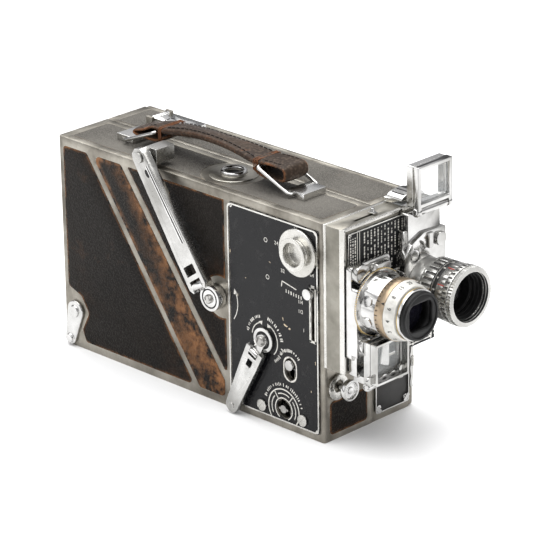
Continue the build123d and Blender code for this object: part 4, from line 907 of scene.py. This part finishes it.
# ---------------------------------------------------------------- finder trims and screws
def cross_slot_head(bm, centre, radius, height, out, turn):
    """A domed screw head with a slot; out is the unit direction that it faces."""
    centre, out = Vector(centre), Vector(out)
    across = Matrix.Rotation(turn, 3, out) @ out.orthogonal().normalized()
    sides = 20
    rings = []
    for share, rise in ((1.0, 0.0), (1.0, 0.55), (0.9, 0.85), (0.7, 1.0)):
        ring = []
        for k, way in enumerate(spokes(out, across, sides)):
            slotted = abs(math.sin(2 * math.pi * k / sides)) < 0.2 and rise >= 0.85
            lift = rise - (0.5 if slotted else 0.0)
            ring.append(bm.verts.new(centre + way * radius * share + out * height * lift))
        rings.append(ring)
    skin(bm, rings)


def ring_grooves(name, body, y0, y1, radius, count, width):
    """Painted shade: dark sheets on the floors of the finger grooves round a ring of the taking
    lens.
    """
    low, high = radius - 0.82, radius - 0.58
    bm = bmesh.new()
    for k in range(count):
        turn = 2 * math.pi * k / count
        out = Vector((math.cos(turn), 0, -math.sin(turn)))
        side = Vector((math.sin(turn), 0, math.cos(turn))) * (width / 2 - 0.03)
        skin(bm, [[bm.verts.new(Vector((LENS_A_X, y, LENS_Z)) + out * reach + side * way)
                   for reach, way in ((low, -1), (low, 1), (high, 1), (high, -1))]
                  for y in (y0, y1)])
    add_piece(bm, name, GROOVE_SHADE, body)


def finder_depths():
    """Deep side walls of both finder frames, behind the upper one and before the lower one."""
    for body, x0, z0, y in (("finder_a", 6.2, 133.8, -128.4), ("finder_b", -32.8, 43.8, -137.7)):
        bm = bmesh.new()
        rim(bm, rounded(x0, x0 + 26.6, z0, z0 + 24.1, 0.9), 1.5, on_front(y), 0.0, 4.3)
        add_piece(bm, body + "_walls", CHROME, body, bevel=0.25)


CHAMBER_FACE = -106.15


def chamber_trims():
    """Bright border and corner clips of the film chamber's front plate."""
    face = on_front(CHAMBER_FACE)
    bm = bmesh.new()
    rim(bm, rounded(4.6, 32.2, 4.4, 45.2, 1.6), 0.8, face, 0.0, 0.8)
    for x, z, turn in ((30.0, 7.0, 45), (6.8, 6.6, 135), (30.2, 42.6, -45)):
        middle, half = Vector((x, z)), polar(turn) * 2.6
        bar(bm, face, middle - half, middle + half, 2.4, 0.55, 1.0)
    add_piece(bm, "chamber_front_trim", CHROME, "chamber", bevel=0.15)


HOOD_RISE = 3.4


def hood_arch():
    """Arched top of the focusing hood, with dark bars along it."""
    low, high = node_box("reflex_hood")
    x0, x1 = low.x + 1.2, high.x - 1.2
    y0 = high.y - 1.6
    depth = y0 - low.y + 1.6
    base = high.z - 0.3
    middle, reach = (x0 + x1) / 2, (x1 - x0) / 2
    bm = bmesh.new()
    angles = [math.pi * k / 24 for k in range(25)]
    arch = [(middle + reach * math.cos(angle), base + HOOD_RISE * math.sin(angle))
            for angle in angles]
    prism(bm, arch, on_front(y0), 0.0, depth)
    add_piece(bm, "hood_arch", CHROME, "reflex_hood", bevel=0.3)
    bm = bmesh.new()
    for share in (-0.62, -0.2, 0.22, 0.6):
        x = middle + reach * share
        z = base + HOOD_RISE * math.sin(math.acos(share)) - 0.15
        capsule(bm, (x, y0 - 1.4, z), (x, y0 - depth + 1.4, z), 0.45)
    add_piece(bm, "hood_dark_bars", BLACK_METAL, "reflex_hood", smooth=True)


def crank_trims():
    """Nuts and rings of both cranks' hubs; on the winding arm, a dark oval of painted shade for
    its hole, raised flanges in brighter metal that paint its chrome reflection, and a strip of
    painted shade in the groove between them.
    """
    for hub, (y, z), nut, ring in (
            ("winding_hub", WIND, (-42.15, 2.7, 2.2, 0.9), (-42.1, 5.0, 5.9)),
            ("hand_crank", CRANK, (-39.7, 3.1, 1.7, 0.4), (-38.3, 3.7, 5.3))):
        nut_x, radius, height, turn = nut
        bm = bmesh.new()
        cross_slot_head(bm, (nut_x, y, z), radius, height, (-1, 0, 0), turn)
        add_piece(bm, hub + "_nut", STEEL, hub)
        ring_x, inner, outer = ring
        bm = bmesh.new()
        lathe(bm, tube_profile(ring_x, ring_x - 0.16, inner, outer),
              lambda a, b, along: (along, y + a, z + b), 64)
        add_piece(bm, hub + "_ring", BLACK_METAL, hub, smooth=True)
    along = Vector((math.sin(WIND_LEAN), math.cos(WIND_LEAN)))
    across = Vector((-along.y, along.x))
    near, far = Vector(WIND) + along * 34.0, Vector(WIND) + along * 82.0
    middle = Vector(WIND) + along * 78.0 + across * 1.0
    # Painted shade: a thin dark oval sheet on the arm stands in for the inside of its hole.
    bm = bmesh.new()
    oval = [middle + along * u + across * v * (1.4 / 2.5) for u, v in circle(0.0, 0.0, 2.5, 20)]
    prism(bm, oval, on_side, 10.58, 10.64)
    add_piece(bm, "winding_arm_hole_shade", BLACK_METAL, "winding_arm")
    # Painted reflection: raised strips in brighter polished metal along the arm stand in for its
    # chrome reflection.
    bm = bmesh.new()
    for near_way, far_way in ((5.4, 4.3), (3.4, 2.7)):
        bar(bm, on_side, near + across * near_way, far + across * far_way, 0.8, 10.5, 11.0)
    add_piece(bm, "winding_arm_flange_reflections", POLISHED, "winding_arm", bevel=0.2)
    # Painted shade: a dark strip in the groove between the flanges.
    bm = bmesh.new()
    bar(bm, on_side, near + across * 4.4, far + across * 3.5, 0.9, 10.5, 10.64)
    add_piece(bm, "winding_arm_groove_shade", GROOVE_SHADE, "winding_arm")


def finder_trims():
    """Hinge screws of both finders, and a dark strip of painted shade in the groove between their
    two top rails.
    """
    for body, hinge_z, x0 in (("finder_a", 132.0, 6.0), ("finder_b", 42.0, -33.0)):
        # Painted shade: a thin dark strip in the groove between the rails.
        bm = bmesh.new()
        prism(bm, rounded(x0 + 0.9, x0 + 26.1, -136.1, -134.3, 0.2, 2),
              lambda u, v, depth: (u, v, hinge_z + 26.0 + depth), -0.1, 0.03)
        add_piece(bm, body + "_rail_groove_shade", BLACK_METAL, body)
        bm = bmesh.new()
        for x, out in ((x0 - 0.02, -1), (x0 + 27.02, 1)):
            cross_slot_head(bm, (x, -135.2, hinge_z), 2.3, 0.9, (out, 0, 0), 0.7)
        add_piece(bm, body + "_hinge_screws", CHROME, "turret")


EDGE_Y = -121.8


def paint_edge_highlights():
    """Painted highlight: bright nickel strips on the upright and top edges of the front housing,
    standing in for the light those edges catch.
    """
    bm = bmesh.new()
    upright = [(-36.3, EDGE_Y), (-34.9, EDGE_Y), (-34.9, -121.3), (-35.8, -121.3),
               (-35.8, -118.3), (-36.3, -118.3)]
    prism(bm, upright, lambda u, v, w: (u, v, 46.2 + w), 0.0, 83.9)
    sill = [(EDGE_Y, 130.3), (EDGE_Y, 128.9), (-121.3, 128.9), (-121.3, 129.8),
            (-119.8, 129.8), (-119.8, 130.3)]
    prism(bm, sill, lambda u, v, w: (SIDE_X + w, u, v), 0.0, 72.0)
    add_piece(bm, "housing_edge_highlights", NICKEL, "mechanism", bevel=0.2)


def lens_a_rim():
    """Knurled front rim of the taking lens."""
    bm = bmesh.new()
    count = 60
    rings = []
    for y, inner in ((-161.1, False), (-163.6, False), (-164.0, True), (-162.0, True)):
        ring = []
        for k in range(2 * count):
            turn = math.pi * k / count
            reach = 14.3 if inner else 17.2 - 0.45 * (k % 2)
            ring.append(bm.verts.new((LENS_A_X + reach * math.cos(turn), y,
                                      LENS_Z + reach * math.sin(turn))))
        rings.append(ring)
    skin(bm, rings, closed=True)
    add_piece(bm, "lens_a_knurled_rim", SATIN, "turret", bevel=0.08)


def finder_b_bracket():
    """Waved hinge strap with two round bosses along the lower finder's foot."""
    face = on_front(-137.9)
    bm = bmesh.new()
    xs = [-34.0 + 0.6 * k for k in range(41)]
    outline = [(x, 47.2 + 0.7 * math.cos(0.9 * (x + 23.0))) for x in xs]
    outline += [(x, 45.3 + 0.5 * math.cos(0.9 * (x + 23.0))) for x in reversed(xs)]
    prism(bm, outline, face, 0.0, 1.3)
    add_piece(bm, "finder_b_strap", CHROME, "finder_b", bevel=0.3)
    bm = bmesh.new()
    for x, r in ((-34.6, 2.6), (-9.6, 2.3)):
        prism(bm, circle(x, 47.3, r, 32), face, 0.0, 1.9)
    add_piece(bm, "finder_b_bosses", CHROME, "finder_b", bevel=0.4)


def port_well():
    """Painted shade: a dark disc in the well of the round port on the top; and its bright ring."""
    low, high = node_box("top_port")
    x, y, base = (low.x + high.x) / 2, (low.y + high.y) / 2, low.z
    # Painted shade: a thin dark disc at the bottom of the port's well.
    bm = bmesh.new()
    prism(bm, circle(x, y, 5.1, 48), lambda u, v, w: (u, v, base + 0.3 + w), 0.0, 0.25)
    add_piece(bm, "port_well", BLACK_METAL, "mechanism")
    bm = bmesh.new()
    tube(bm, [(u, v, base + 1.6) for u, v in circle(x, y, 6.4, 48)], 1.25, 14)
    add_piece(bm, "port_ring", CHROME, "mechanism", smooth=True)


def chamber_latch_strip():
    """Waved chrome strip at the chamber's outer front edge."""
    bm = bmesh.new()
    face = on_front(CHAMBER_FACE)
    zs = [12.0 + 0.8 * k for k in range(37)]
    outline = [(33.1 + 0.35 * math.sin(0.75 * z), z) for z in zs]
    outline += [(35.0 + 0.45 * math.sin(0.75 * z), z) for z in reversed(zs)]
    prism(bm, outline, face, 0.0, 1.1)
    add_piece(bm, "chamber_latch_strip", CHROME, "chamber", bevel=0.25)


crank_trims()
paint_edge_highlights()
lens_a_rim()
finder_b_bracket()
port_well()
chamber_latch_strip()
finder_trims()
finder_depths()
chamber_trims()
hood_arch()
ring_grooves("lens_a_iris_groove_shade", "lens_a_iris", -141.25, -147.55, 16.6, 30, 1.5)
ring_grooves("lens_a_focus_groove_shade", "lens_a_focus", -156.65, -160.15, 17.4, 36, 1.3)


# ---------------------------------------------------------------- camera, lights and stage
def look_camera():
    """The photograph's viewpoint: a long lens from the front corner, a little above."""
    data = bpy.data.cameras.new("camera")
    data.sensor_width = 36.0
    data.lens = 212.9
    data.clip_end = 50.0
    cam = new_object("camera", data)
    cam.location = (-1.2079, -1.2362, 0.7588)
    azimuth, elevation, roll = math.radians(45.125), math.radians(22.003), math.radians(-0.862)
    forward = Vector((math.sin(azimuth) * math.cos(elevation),
                      math.cos(azimuth) * math.cos(elevation), -math.sin(elevation)))
    turn = forward.to_track_quat("-Z", "Y").to_matrix()
    cam.rotation_euler = (turn @ Matrix.Rotation(roll, 3, "Z")).to_euler()
    bpy.context.scene.camera = cam


def area_light(name, place, target, size, power):
    """A rectangular lamp that looks at a target."""
    data = bpy.data.lights.new(name, "AREA")
    data.shape = "RECTANGLE"
    data.size, data.size_y = size
    data.energy = power
    lamp = new_object(name, data)
    lamp.location = place
    lamp.rotation_euler = (Vector(target) - Vector(place)).to_track_quat("-Z", "Y").to_euler()


def studio():
    """Pale floor and soft light from above and both sides."""
    s = Shader("pale_floor")
    tone = s.mix(s.ramp(s.noise(3.0, 3.0), 0.3, 0.7), (0.90, 0.90, 0.90), (0.93, 0.93, 0.93))
    floor_look = s.set(color=tone, rough=0.9, specular=0.1)
    bm = bmesh.new()
    bmesh.ops.create_grid(bm, x_segments=8, y_segments=8, size=7.0)
    mesh = bpy.data.meshes.new("studio_floor")
    bm.to_mesh(mesh)
    bm.free()
    mesh.materials.append(floor_look)
    floor = new_object("studio_floor", mesh)
    world = bpy.data.worlds.new("studio")
    world.use_nodes = True
    tree = world.node_tree
    back = tree.nodes["Background"]
    back.inputs["Strength"].default_value = 0.75
    coords = tree.nodes.new("ShaderNodeTexCoord")
    parts = tree.nodes.new("ShaderNodeSeparateXYZ")
    tree.links.new(coords.outputs["Generated"], parts.inputs["Vector"])
    bands = tree.nodes.new("ShaderNodeValToRGB")
    tree.links.new(parts.outputs["Z"], bands.inputs["Fac"])
    stops = bands.color_ramp.elements
    stops[0].position, stops[0].color = 0.0, (0.75, 0.75, 0.75, 1)
    stops[1].position, stops[1].color = 1.0, (1.0, 1.0, 1.0, 1)
    for position, grey in ((0.04, 0.42), (0.09, 0.10), (0.15, 0.13), (0.25, 0.80)):
        stop = stops.new(position)
        stop.color = (grey, grey, grey * 1.03, 1)
    tree.links.new(bands.outputs["Color"], back.inputs["Color"])
    bpy.context.scene.world = world
    area_light("top_box", (0.1, 0.2, 1.6), (0, 0, 0.05), (2.2, 2.2), 50)
    area_light("left_box", (-1.6, 0.9, 0.9), (0, 0, 0.08), (1.2, 1.2), 4)
    area_light("front_box", (-0.2, -1.9, 0.8), (0, -0.05, 0.08), (0.9, 1.3), 4)


bpy.context.scene.view_settings.view_transform = "Standard"
look_camera()
studio()
